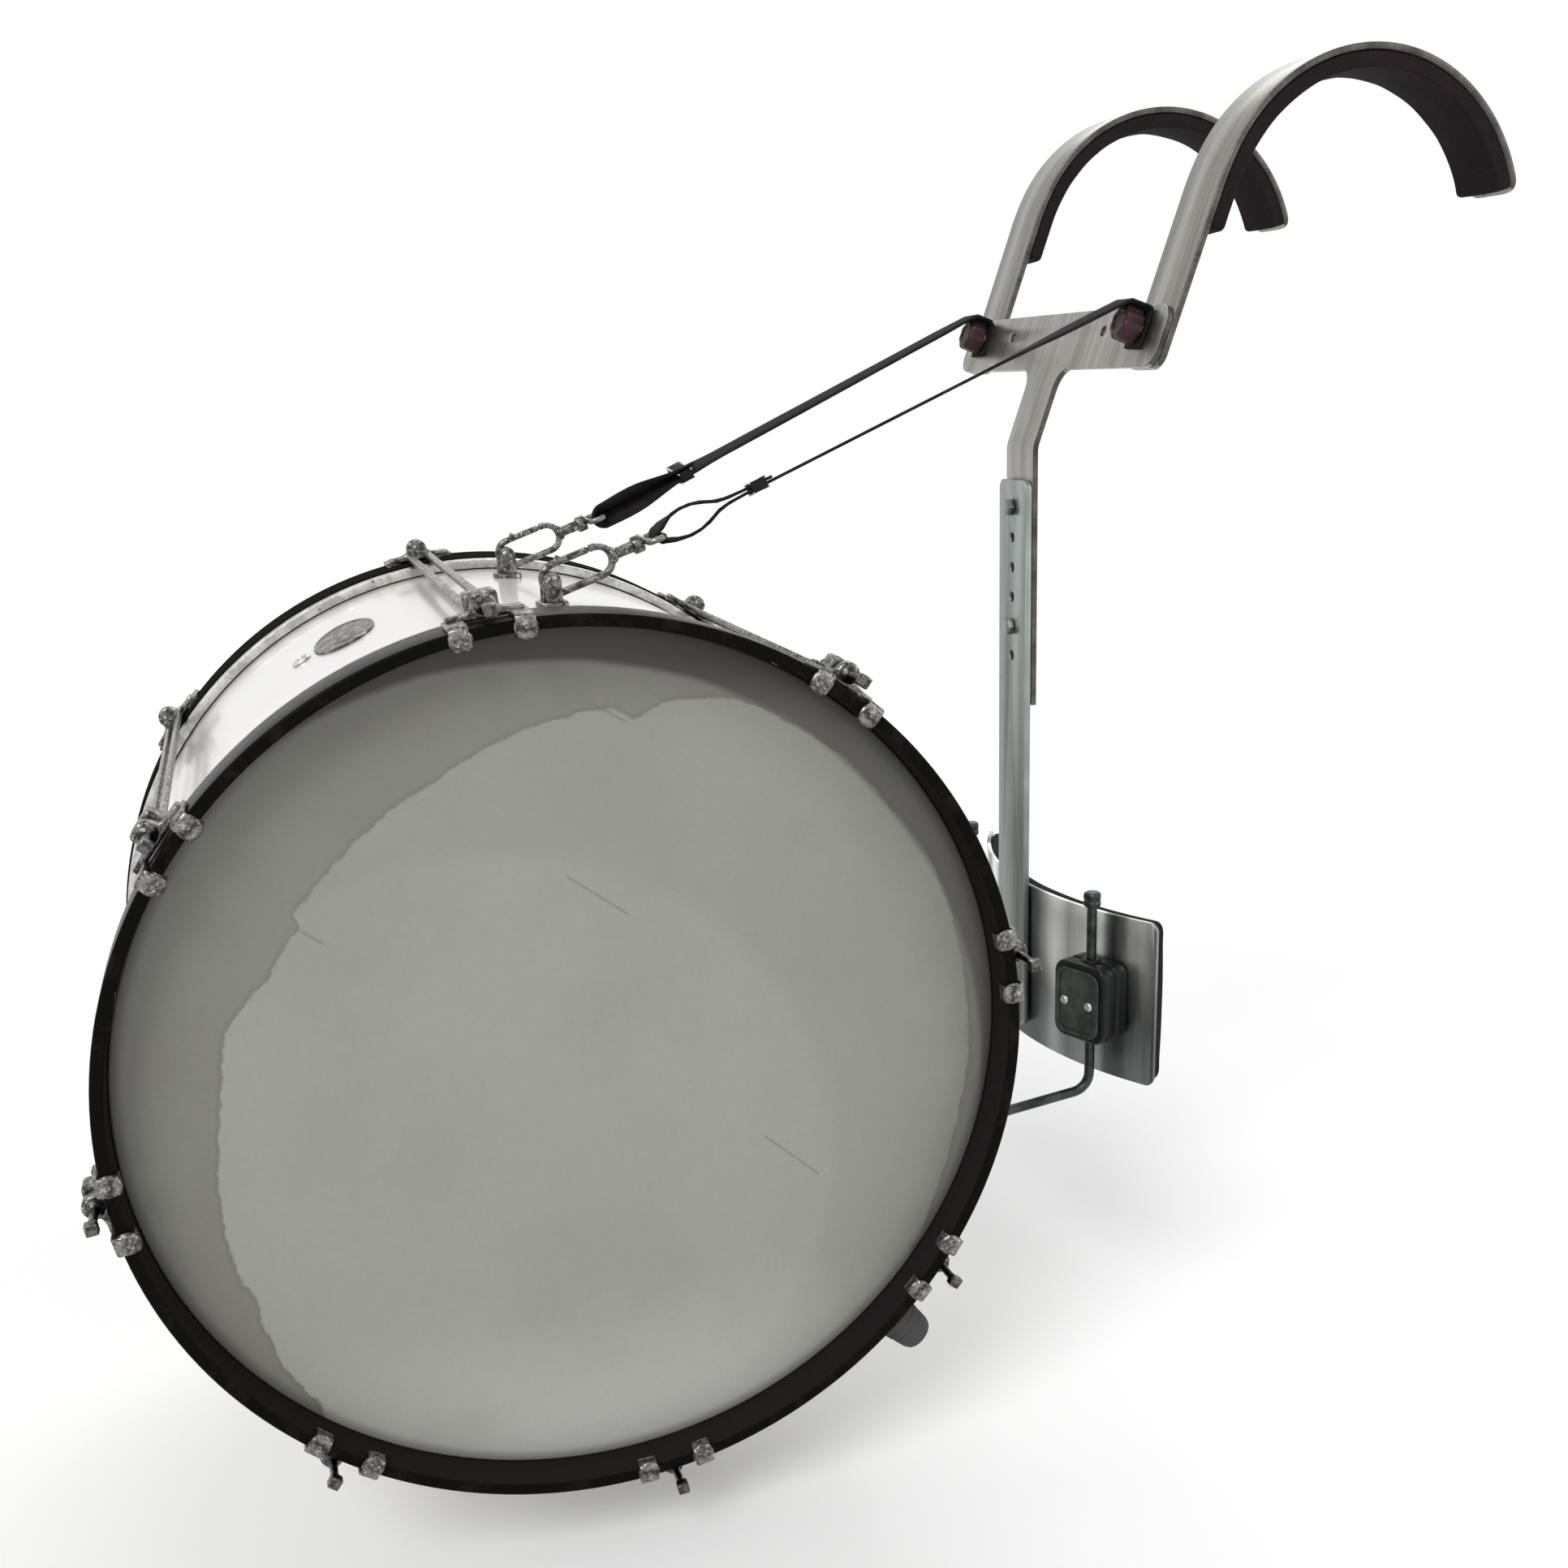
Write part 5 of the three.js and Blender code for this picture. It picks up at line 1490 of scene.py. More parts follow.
@dataclass
class TensionSet:
    """Eight tension units: a double claw, a key screw and a stirrup that hooks the far hoop."""

    count: int = 8
    first_turn: float = 7.8
    hoop_inner: float = HOOP_INNER
    hoop_outer: float = HOOP_OUTER
    hoop_edge: float = HOOP_EDGE
    spread: float = 35
    width: float = 11
    strip: float = 2.6
    lip: float = 6
    reach: float = 26
    nose: float = 6.8
    circle: float = 270.4
    hub: float = 7
    yoke_face: float = 178
    yoke_depth: float = 9
    bore: float = 3.4
    screw: float = 3
    screw_length: float = 45
    pitch: float = 1.5
    block: tuple[float, float, float] = (19, 12, 13)
    bar: Point = (5, 3)
    bar_inset: float = 4
    neck: float = 21
    key_head: Point = (6.8, 6.5)

    def build(self, bench: Bench) -> None:
        """Makes one unit and sets it round the drum eight times.

        Args:
            bench: Where the pieces go.
        """
        claw = Form()
        self._claw(claw, -1, bored=True)
        claw_mesh = bench.mesh("claw", claw, [Wear.PLATE], crease=50)
        stirrup = Form()
        self._claw(stirrup, 1, bored=False)
        self._stirrup_bars(stirrup)
        stirrup_mesh = bench.mesh("stirrup", stirrup, [Wear.PLATE], crease=50)
        screw_mesh = bench.mesh("key_screw", self._screw(), [Wear.SCREW], crease=50)
        for i in range(self.count):
            turn, number = self.first_turn + i * 360 / self.count, i + 1
            bench.piece(f"hoop_claw_{number}", claw_mesh, "drum", "nickel_plate", [f"claw_{number}"], turn)
            bench.piece(f"far_stirrup_{number}", stirrup_mesh, "drum", "nickel_plate", [f"stirrup_{number}"], turn)
            node = f"key_screw_{number}"
            bench.piece(f"screw_{number}", screw_mesh, node, "nickel_plate", [node], turn)

    def _claw(self, form: Form, side: int, bored: bool) -> None:
        """Two hooks over the hoop's edge and the bridge between them.

        Args:
            form: The form that grows.
            side: -1 near, 1 far.
            bored: Whether the bridge has the screw's bore.
        """
        turn = math.asin(self.spread / 2 / self.hoop_outer)
        for lean in (turn, -turn):
            hook = Form()
            self._hook(hook, side)
            bmesh.ops.rotate(hook.mesh, matrix=Matrix.Rotation(lean, 3, "Y"), verts=hook.mesh.verts)
            form.absorb(hook)
        half = self.spread / 2 + 3.5
        foot = self.hoop_outer + 2 * SEAT_GAP
        bow = [(foot, -half), (foot + 3, -half), (foot + 4, -half + 1)]
        bow += curve_between((foot + 4, -half + 1), (self.circle - self.hub / 2, -self.hub), (self.circle, -self.hub))
        mirrored = [(x, -z) for x, z in bow[:-1][::-1]]
        outlines = [bow + arc((self.circle, 0), self.hub, -90, 90, 12)[1:] + mirrored]
        if bored:
            outlines.append(ring((self.circle, 0), self.bore, 20))
        middle = side * (self.yoke_face - self.yoke_depth / 2)
        at = plane(Vector((0, middle, 0)), ALONG_X, ALONG_Z)
        form.plate(outlines, self.yoke_depth, at, edge=1.1, centred=True)
        if not bored:
            dome = [(5.4, 0), (5.4, 0.3), (4.6, 0.9), (2.4, 1.4), (0, 1.5)]
            seat = Vector((self.circle, side * (self.yoke_face - 1.3), 0))
            form.turn(dome, seat, ALONG_Y * side, 18)

    def _hook(self, form: Form, side: int) -> None:
        """One hook: a strip bent over the hoop's edge, with a domed nose on its face.

        Args:
            form: The form that grows.
            side: -1 near, 1 far.
        """
        leg = self.hoop_outer + SEAT_GAP + self.strip / 2
        front = self.hoop_edge + SEAT_GAP + self.strip / 2
        inside = self.hoop_inner - 0.31 - SEAT_GAP - self.strip / 2
        corners = [(leg, self.hoop_edge - self.reach), (leg, front), (inside, front)]
        corners.append((inside, front - self.lip - 1.3))
        strip = ribbon(rounded_path(corners, 2.1, 5), self.strip)
        form.plate([strip], self.width, plane(ORIGIN, ALONG_X, ALONG_Y * side), edge=0.7, centred=True)
        face = front - self.strip / 2
        dome = [(self.nose, 0), (self.nose, 0.7), (6.3, 1.5), (5.0, 2.2), (3.2, 2.6), (1.5, 2.75), (0, 2.8)]
        middle = Vector(((self.hoop_inner + self.hoop_outer) / 2 - 1.2, side * face, 0))
        form.turn(dome, middle, ALONG_Y * side, 28)
        stud = [(2.1, 0), (2.1, 0.5), (1.6, 0.9), (0, 1.1)]
        form.turn(stud, Vector((leg + self.strip / 2 - 0.2, side * (self.hoop_edge - 20), 0)), ALONG_X, 16)

    def _stirrup_bars(self, form: Form) -> None:
        """The nut block behind the near claw, and the two flat bars that run back to the far claw.

        Args:
            form: The form that grows.
        """
        width, thickness, length = self.block
        front = -(self.yoke_face - self.yoke_depth) + 14
        at = plane(Vector((self.circle, front - length / 2, 0)), ALONG_Z, ALONG_X)
        outlines = [rounded(width, thickness, thickness / 4), ring((0, 0), self.bore, 20)]
        form.plate(outlines, length, at, edge=0.9, centred=True)
        end = self.yoke_face - self.yoke_depth / 2
        start = front - length / 2
        for half in (-1, 1):
            middle = Vector((self.circle - self.bar_inset, (start + end) / 2, half * (self.bore + self.bar[0] / 2)))
            bar = rounded(self.bar[0], end - start, 0.9, 3)
            form.plate([bar], self.bar[1], plane(middle, ALONG_Z, ALONG_Y), edge=0.5, centred=True)
            form.ball(middle + ALONG_Y * ((end - start) / 2 - 0.6) + ALONG_X * 0.4, 2.1, 10)

    def _screw(self) -> Form:
        """The key screw: a threaded shank, a collar, a thin neck and a square head for a drum key.

        Returns:
            The form.
        """
        form = Form()
        seat = -(self.yoke_face + SEAT_GAP)
        origin = Vector((self.circle, seat, 0))
        form.thread(origin, -ALONG_Y, -self.screw_length, -1.2, self.screw, 0.42, self.pitch)
        top = self.neck
        shape = [(0, -3), (2.55, -3), (2.55, 0), (5.1, 0), (5.4, 0.3), (5.4, 2.2), (4.6, 2.9), (3.0, 3.3), (2.5, 4.2)]
        shape += [(2.35, 8), (2.35, top - 4), (2.55, top - 2), (3.2, top - 0.6), (3.3, top + 1), (0, top + 1)]
        form.turn(shape, origin, -ALONG_Y, 24)
        side, length = self.key_head
        start = origin - ALONG_Y * top
        form.plate([rounded(side, side, 0.9, 3)], length, plane(start, ALONG_X, ALONG_Z), edge=0.8)
        return form


@dataclass
class ShellFittings:
    """Badge, air vent and rubber bumper."""

    seat: float = 254.3
    badge_turn: float = 113.3
    badge_half: Point = (20, 42)
    badge_thickness: float = 1.2
    vent_turn: float = 119.909
    vent_offset: float = 3
    bumper_turn: float = -46.6
    bumper_offset: float = 177
    hoop_seat: float = 262.7

    def build(self, bench: Bench) -> None:
        """Makes the three fittings.

        Args:
            bench: Where the pieces go.
        """
        finishes = [Wear.BADGE, Wear.BAND]
        bench.add("oval_badge", self._badge(), finishes, "drum", "nickel_plate", "badge", crease=50)
        bench.add("air_vent", self._vent(), [Wear.BAND], "drum", "nickel_plate", "vent")
        bench.add("rubber_bumper", self._bumper(), [Wear.RUBBER], "drum", "black_rubber", "bumper")

    def _out(self, degrees: float) -> Vector:
        """The direction from the drum's axis at an angle."""
        turn = math.radians(degrees)
        return Vector((math.cos(turn), 0, math.sin(turn)))

    def _badge(self) -> Form:
        """An oval with a raised rim and a sunk field, bent to the shell.

        Returns:
            The form.
        """
        high = self.badge_thickness
        levels = [(1.0, 0.0), (1.0, high * 0.7), (0.985, high), (0.93, high), (0.9, high * 0.55)]
        levels += [(0.87, high * 0.5), (0.7, high * 0.62), (0.45, high * 0.72), (0.2, high * 0.76)]
        form = Form()
        short, long = self.badge_half

        def bent(share: float, lift: float) -> list[Vector]:
            """A ring of the oval at a share of its size, lifted off the shell."""
            points = []
            for x, y in ring((0, 0), share, 72) if share else [(0, 0)]:
                angle = self.badge_turn + math.degrees(short * x / self.seat)
                points.append(self._out(angle) * (self.seat + lift) + ALONG_Y * long * y)
            return points

        inside = [bent(share, lift) for share, lift in levels] + [bent(0, high * 0.78)]
        form.skin([bent(0, 0)] + [bent(0.5, 0)] + inside, caps=False)
        for i in range(-4, 5):
            around = self._out(self.badge_turn + i * 0.36)
            reach = 30 - abs(i) * 3.2
            start = around * (self.seat + high * 0.8)
            form.rod(start - ALONG_Y * reach, start + ALONG_Y * reach, 0.38, 8, 0.2)
        return form

    def _vent(self) -> Form:
        """The eyelet round the air hole.

        Returns:
            The form.
        """
        out = self._out(self.vent_turn)
        form = Form()
        profile = [(2.6, 0), (6.3, 0), (6.5, 0.3), (6.2, 1.1), (5.2, 1.8), (4, 2), (3.1, 1.7), (2.6, 0.9)]
        form.turn(profile, out * self.seat - ALONG_Y * self.vent_offset, out, 32, closed=True)
        return form

    def _bumper(self) -> Form:
        """A tapered rubber foot with two grooves, fitted to the hoop.

        Returns:
            The form.
        """
        out = self._out(self.bumper_turn)
        form = Form()
        profile = [(0, 0), (8, 0), (15, 0), (14.8, 6), (14.0, 11), (13.2, 11.6), (13.6, 12.4), (13.1, 17), (12.3, 17.6)]
        profile += [(12.7, 18.4), (12.1, 24), (11.6, 28.4), (10.6, 31), (8.4, 32.3), (5.4, 32.6), (4.8, 31.2)]
        profile += [(2.4, 30.6), (0, 30.6)]
        form.turn(profile, out * 258.8 - ALONG_Y * self.bumper_offset, out, 40)
        form.push_out(ORIGIN, self.hoop_seat, ALONG_Y)
        return form


# Straps and their hooks


@dataclass(frozen=True)
class StrapRun:
    """The upright plane that a strap lies in, and its long run from the snap's ring to the knob."""

    side: int
    start: Vector
    slope: float
    pull: Vector
    far: float

    def way(self, flat: Vector) -> Vector:
        """A direction of the side view, led along the drum's axis by the slope."""
        return Vector((flat.x, flat.x * self.slope, flat.y))

    def at(self, along: float, up: float) -> Point:
        """A point of the side view, along the run and up from it."""
        return tuple(self.pull * along + Vector((-self.pull.y, self.pull.x)) * up)


@dataclass
class StrapSet:
    """Brackets on the shell, snap hooks with sprung gates, and the webbing straps to the chest plate."""

    pin: tuple[float, float, float] = (14, 88, 268)
    pin_radius: float = 2.4
    tilt: float = 19
    shift: float = 3.8
    bow: float = 26
    nose: float = 10.5
    wire: float = 4
    thickness: float = 6
    gate_start: float = 1.3
    gate_pivot: float = 21.9
    ring_middle: float = 61.1
    ring_pull: float = 65.9
    width: float = 20
    layer: float = 1.8
    wrap: float = 3.746
    loop: float = 58
    buckle: Point = (11, 6.8)
    edgewise: tuple[float, float, float] = (0.33, 0.94, -0.03)
    square_run: float = 9
    openings: Point = (11, 2)
    roll: tuple[Point, ...] = ((0, 24), (0.1, 31), (0.2, 14), (0.3, 6), (0.9, 3), (1, 0))
    shares: tuple[float, ...] = (0.04, 0.1, 0.18, 0.28, 0.4, 0.52, 0.64, 0.76, 0.86, 0.94)

    def __post_init__(self) -> None:
        """Finds the snap hooks' own ways along and across."""
        turn = math.radians(self.tilt)
        self.along = Vector((math.cos(turn), 0, math.sin(turn)))
        self.across = Vector((-math.sin(turn), 0, math.cos(turn)))

    def build(self, bench: Bench) -> None:
        """Makes both straps with all that holds them.

        Args:
            bench: Where the pieces go.
        """
        for name, side in SIDES.items():
            for piece, form, body, node, crease in (
                ("bracket", self._bracket(side), "drum", "strap_bracket", 38),
                ("snap", self._snap(side), "drum", "snap_hook", 38),
                ("gate", self._gate(side), f"snap_gate_{name}", "snap_gate", 50),
            ):
                bench.add(f"{piece}_{name}", form, [Wear.PLATE], body, "nickel_plate", f"{node}_{name}", crease=crease)
            self._strap(bench, name, side)

    def _pin(self, side: int) -> Vector:
        """The middle of a bracket's pin."""
        return Vector((self.pin[0], side * self.pin[1], self.pin[2]))

    def _origin(self, side: int) -> Vector:
        """The middle of a snap hook's nose."""
        return self._pin(side) + self.along * self.shift

    def _bracket(self, side: int) -> Form:
        """Foot, two cheeks and a riveted pin.

        Args:
            side: -1 near, 1 far.

        Returns:
            The form.
        """
        pin = self._pin(side)
        form = Form()
        low, high = SHELL_RADIUS - 1.6, SHELL_RADIUS + 2.6
        form.plate([rounded(18, 17, 4)], high - low, plane(Vector((pin.x, pin.y, low)), ALONG_X, ALONG_Y), edge=0.9)
        form.push_out(ORIGIN, SHELL_RADIUS + SEAT_GAP, ALONG_Y)
        for half in (-1, 1):
            face = pin + ALONG_Y * half * 4.6
            right = [(6.6, 255.4 - pin.z), (5.8, 258 - pin.z), (5.6, 260 - pin.z)]
            left = [(-x, y) for x, y in right]
            cheek = left[:1] + right + arc((0, 0), 5.6, 0, 180, 16) + left[:0:-1]
            form.plate([cheek], 2.6, plane(face, ALONG_X, ALONG_Z), edge=0.6, centred=True)
            head = [(3.6, 0), (3.6, 0.4), (2.9, 1.0), (1.4, 1.35), (0, 1.45)]
            form.turn(head, pin + ALONG_Y * half * 5.8, ALONG_Y * half, 20)
        form.rod(pin - ALONG_Y * 5, pin + ALONG_Y * 5, self.pin_radius, 16)
        return form

    def _snap(self, side: int) -> Form:
        """A wire bow that is open at its gate, a swivel shank and a ring for the webbing.

        Args:
            side: -1 near, 1 far.

        Returns:
            The form.
        """
        origin = self._origin(side)
        middle = self.nose - self.wire / 2
        flat = arc((0, 0), middle, 90, 270, 16) + arc((self.bow, 0), middle, -90, 90, 16)
        flat = [(1.0, middle)] + flat + [(24.0, middle)]
        path = [origin + self.along * x + self.across * y for x, y in flat]
        form = Form()
        section = rounded(self.wire, self.thickness, 1.7, 4)
        rings = []
        for i, point in enumerate(path):
            before, after = path[max(i - 1, 0)], path[min(i + 1, len(path) - 1)]
            tangent = (after - before).normalized()
            out = tangent.cross(ALONG_Y)
            rings.append([point + out * x + ALONG_Y * y for x, y in section])
        form.skin(rings)
        shank = [(0, 34.2), (5.0, 34.2), (5.2, 35.2), (4.6, 37), (3.4, 38), (3.2, 41), (3.4, 44), (3.4, 47.6)]
        shank += [(4.4, 48.2), (5.1, 48.7), (5.2, 49.4), (5.2, 53.9), (4.8, 54.6), (3.2, 54.9), (0, 54.9)]
        form.turn(shank, origin, self.along, 24)
        bar = 1.8
        outline = rounded(13.2 - 2 * bar, 30.2 - 2 * bar, 3.0, 5)
        loop = [origin + self.along * (self.ring_middle + x) + ALONG_Y * y for x, y in outline]
        form.sweep(loop, ring((0, 0), bar, 12), self.across, closed=True)
        return form

    def _gate(self, side: int) -> Form:
        """The sprung gate with its thumb nub.

        Args:
            side: -1 near, 1 far.

        Returns:
            The form.
        """
        middle = self.nose - self.wire / 2
        low, high = middle - 1.8, middle + 1.8
        outline = [(self.gate_start, low)] + arc((self.gate_pivot, middle), 1.8, -90, 90, 10)
        nub = ((8, 0), (6.8, 0.3), (5.6, 1.7), (4.8, 2), (4.0, 1.6), (3.2, 0.2), (self.gate_start, 0))
        outline += [(x, high + rise) for x, rise in nub]
        form = Form()
        at = plane(self._origin(side), self.along, self.across)
        form.plate([outline], self.thickness - 2 * SEAT_GAP, at, edge=0.8, centred=True)
        pivot = self._origin(side) + self.along * self.gate_pivot + self.across * middle
        form.rod(pivot - ALONG_Y * 3.0, pivot + ALONG_Y * 3.0, 1.0, 14, 0.3)
        return form

    def _ways(self, run: StrapRun, tangent: Vector, reach: float) -> tuple[Vector, Vector]:
        """The strap's ways across and out at one place.

        The near strap is square to the ring and to the knob and shows its edge between them; the far strap rolls.

        Args:
            run: The strap's run.
            tangent: Its direction in the side view.
            reach: How far along the run the place is.

        Returns:
            Both ways.
        """
        if run.side < 0:
            way = run.way(tangent).normalized()
            share = min(max((reach - 2) / self.square_run, 0), max((run.far - 30 - reach) / 60, 0), 1)
            wide = ALONG_Y.lerp(Vector(self.edgewise), eased(share))
            wide = (wide - way * wide.dot(way)).normalized()
            return wide, way.cross(wide)
        share, roll = min(max(reach / run.far, 0), 1), 0.0
        for (start, low), (end, high) in zip(self.roll, self.roll[1:]):
            if start <= share <= end:
                roll = math.radians(low + (high - low) * eased((share - start) / (end - start)))
        pull = run.way(run.pull).normalized()
        bend = min(abs(tangent.dot(run.pull)) * 1.2, 1)
        level = (ALONG_Y - pull * pull.y).normalized()
        level = (level * bend + ALONG_Y * (1 - bend)).normalized()
        up = Vector((-tangent.y, 0, tangent.x))
        return level * math.cos(roll) + up * math.sin(roll), up * math.cos(roll) - level * math.sin(roll)

    def _strap(self, bench: Bench, name: str, side: int) -> None:
        """Webbing from its slide through the snap's ring and back, then over the knob to the chest plate.

        Args:
            bench: Where the pieces go.
            name: The side's name.
            side: -1 near, 1 far.
        """
        start = self._origin(side) + self.along * self.ring_pull
        knob = CHEST.knob(side)
        tab = knob + LEAN_OUT * (SEAT_GAP + self.layer / 2)
        over = tab + LEAN_UP * (CHEST.grip + SEAT_GAP + self.layer / 2)
        places = (over + LEAN_OUT * 14.3, over, tab - LEAN_UP * 12)
        corner, bend, end = (Vector((place.x - start.x, place.z - start.z)) for place in places)
        far, gap = corner.length, (self.layer + SEAT_GAP) / 2
        run = StrapRun(side, start, (knob.y - start.y) / (knob.x - start.x), corner.normalized(), far)
        opening = self.openings[side > 0] / 2

        def spread(share: float) -> float:
            """How far each layer of the loop is from its middle line."""
            bulge = math.sin(math.pi * min(share / 0.68, 1)) * opening
            return self.wrap * (1 - share) + gap * share + bulge

        middle = self.loop + self.buckle[0] / 2
        upper = [run.at(middle + 9, gap), run.at(middle, gap)]
        upper += [run.at(self.loop * share, spread(share)) for share in reversed(self.shares)]
        lower = [run.at(self.loop * share, -spread(share)) for share in self.shares] + [run.at(middle, -gap)]
        heading = math.degrees(math.atan2(run.pull.y, run.pull.x))
        eye = arc((0, 0), self.wrap, heading + 90, heading + 270, 14)
        long = [run.at(middle + (far - middle - 8) * i / 24, -gap * (1 - i / 24)) for i in range(1, 25)]
        turn = rounded_path([run.at(middle, -gap), tuple(corner), tuple(bend), tuple(end)], 2.4, 6)
        finishes = [Wear.WEBBING, Wear.THREAD]
        mesh = bench.mesh(f"strap_{name}", self._belt(upper + eye + lower + long + turn[1:], run), finishes, crease=60)
        self._join(bench, f"webbing_strap_{name}", mesh, start, knob, [f"strap_{name}"])
        mesh = bench.mesh(f"slide_{name}", self._slide(run, middle), [Wear.SLIDE, Wear.BAND])
        self._join(bench, f"strap_slide_{name}", mesh, start, knob, [])

    def _belt(self, flat: Sequence[Point], run: StrapRun) -> Form:
        """The webbing along its side view, with two rows of stitches at its end.

        Args:
            flat: The side view.
            run: The strap's run.

        Returns:
            The form.
        """
        points = [Vector(p) for p in flat]
        rings = []
        half, depth, edge = self.width / 2, self.layer / 2, 0.55
        section = [(-half, -depth + edge), (-half + edge, -depth), (-half / 3, -depth), (half / 3, -depth)]
        section += [(half - edge, -depth), (half, -depth + edge), (half, depth - edge), (half - edge, depth)]
        section += [(half / 3, depth), (-half / 3, depth), (-half + edge, depth), (-half, depth - edge)]
        for i, point in enumerate(points):
            before, after = points[max(i - 1, 0)], points[min(i + 1, len(points) - 1)]
            wide, high = self._ways(run, (after - before).normalized(), point.dot(run.pull))
            centre = run.start + run.way(point)
            rings.append([centre + wide * x + high * y for x, y in section])
        form = Form()
        form.skin(rings)
        before, tail = points[-2:]
        tangent = (before - tail).normalized()
        normal = Vector((-tangent.y, tangent.x))
        for row in (2.2, 4.6):
            for step in range(-3, 4):
                place = run.start + run.way(tail + tangent * row - normal * depth) + ALONG_Y * step * 2.5
                form.stitch(place, ALONG_Y, LEAN_OUT, 1.7)
        return form

    def _slide(self, run: StrapRun, reach: float) -> Form:
        """The moulded slide that holds the webbing's returned end, with a wire at each end.

        Args:
            run: The strap's run.
            reach: How far along the run it sits.

        Returns:
            The form.
        """
        along, middle = run.way(run.pull).normalized(), run.start + run.way(run.pull) * reach
        wide, _ = self._ways(run, run.pull, reach)
        across = (wide - along * wide.dot(along)).normalized()
        up = along.cross(across)
        length, depth = self.buckle
        form = Form()
        for half in (-1, 1):
            at = plane(middle + up * half * 2.75, along, across)
            form.plate([rounded(length, 22.4, 2, 5)], 1.4, at, edge=0.5, centred=True)
            at = plane(middle + across * half * 10.6, along, up)
            form.plate([rounded(length - 1.2, depth - 0.4, 2, 4)], 1.1, at, edge=0.4, centred=True)
        for end in (-1, 1):
            for half in (-1, 1):
                wire = middle + along * end * (length / 2 - 0.6) + up * half * 3.1
                bar = [(0, -10.8), (0.6, -10.8), (0.75, -10.6), (0.75, 10.6), (0.6, 10.8), (0, 10.8)]
                form.turn(bar, wire, across, 12, finish=1)
        return form

    def _join(
        self, bench: Bench, name: str, mesh: bpy.types.Mesh, start: Vector, knob: Vector,
        stands_for: Sequence[str],
    ) -> None:
        """Places a soft piece in the frame, tied to no body, so neither the drum nor the carrier holds it.

        Args:
            bench: Where the pieces go.
            name: The piece's name.
            mesh: Its mesh.
            start: Where the strap meets the drum; not used.
            knob: Where the strap meets the carrier; not used.
            stands_for: The nodes of the frame that it replaces.
        """
        piece = bpy.data.objects.new(name, mesh)
        bpy.context.scene.collection.objects.link(piece)
        mesh.transform(Matrix.Translation(bench.centre))
        low, high = bench.centre + start * MM, bench.centre + knob * MM
        tuple(high + LEAN_UP * 0.012 + LEAN_OUT * 0.017)
        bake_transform(piece)
        if stands_for:
            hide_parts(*stands_for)
        bench.count += 1
        log.info("%s: %d faces from drum to carrier", name, len(mesh.polygons))


# Carrier


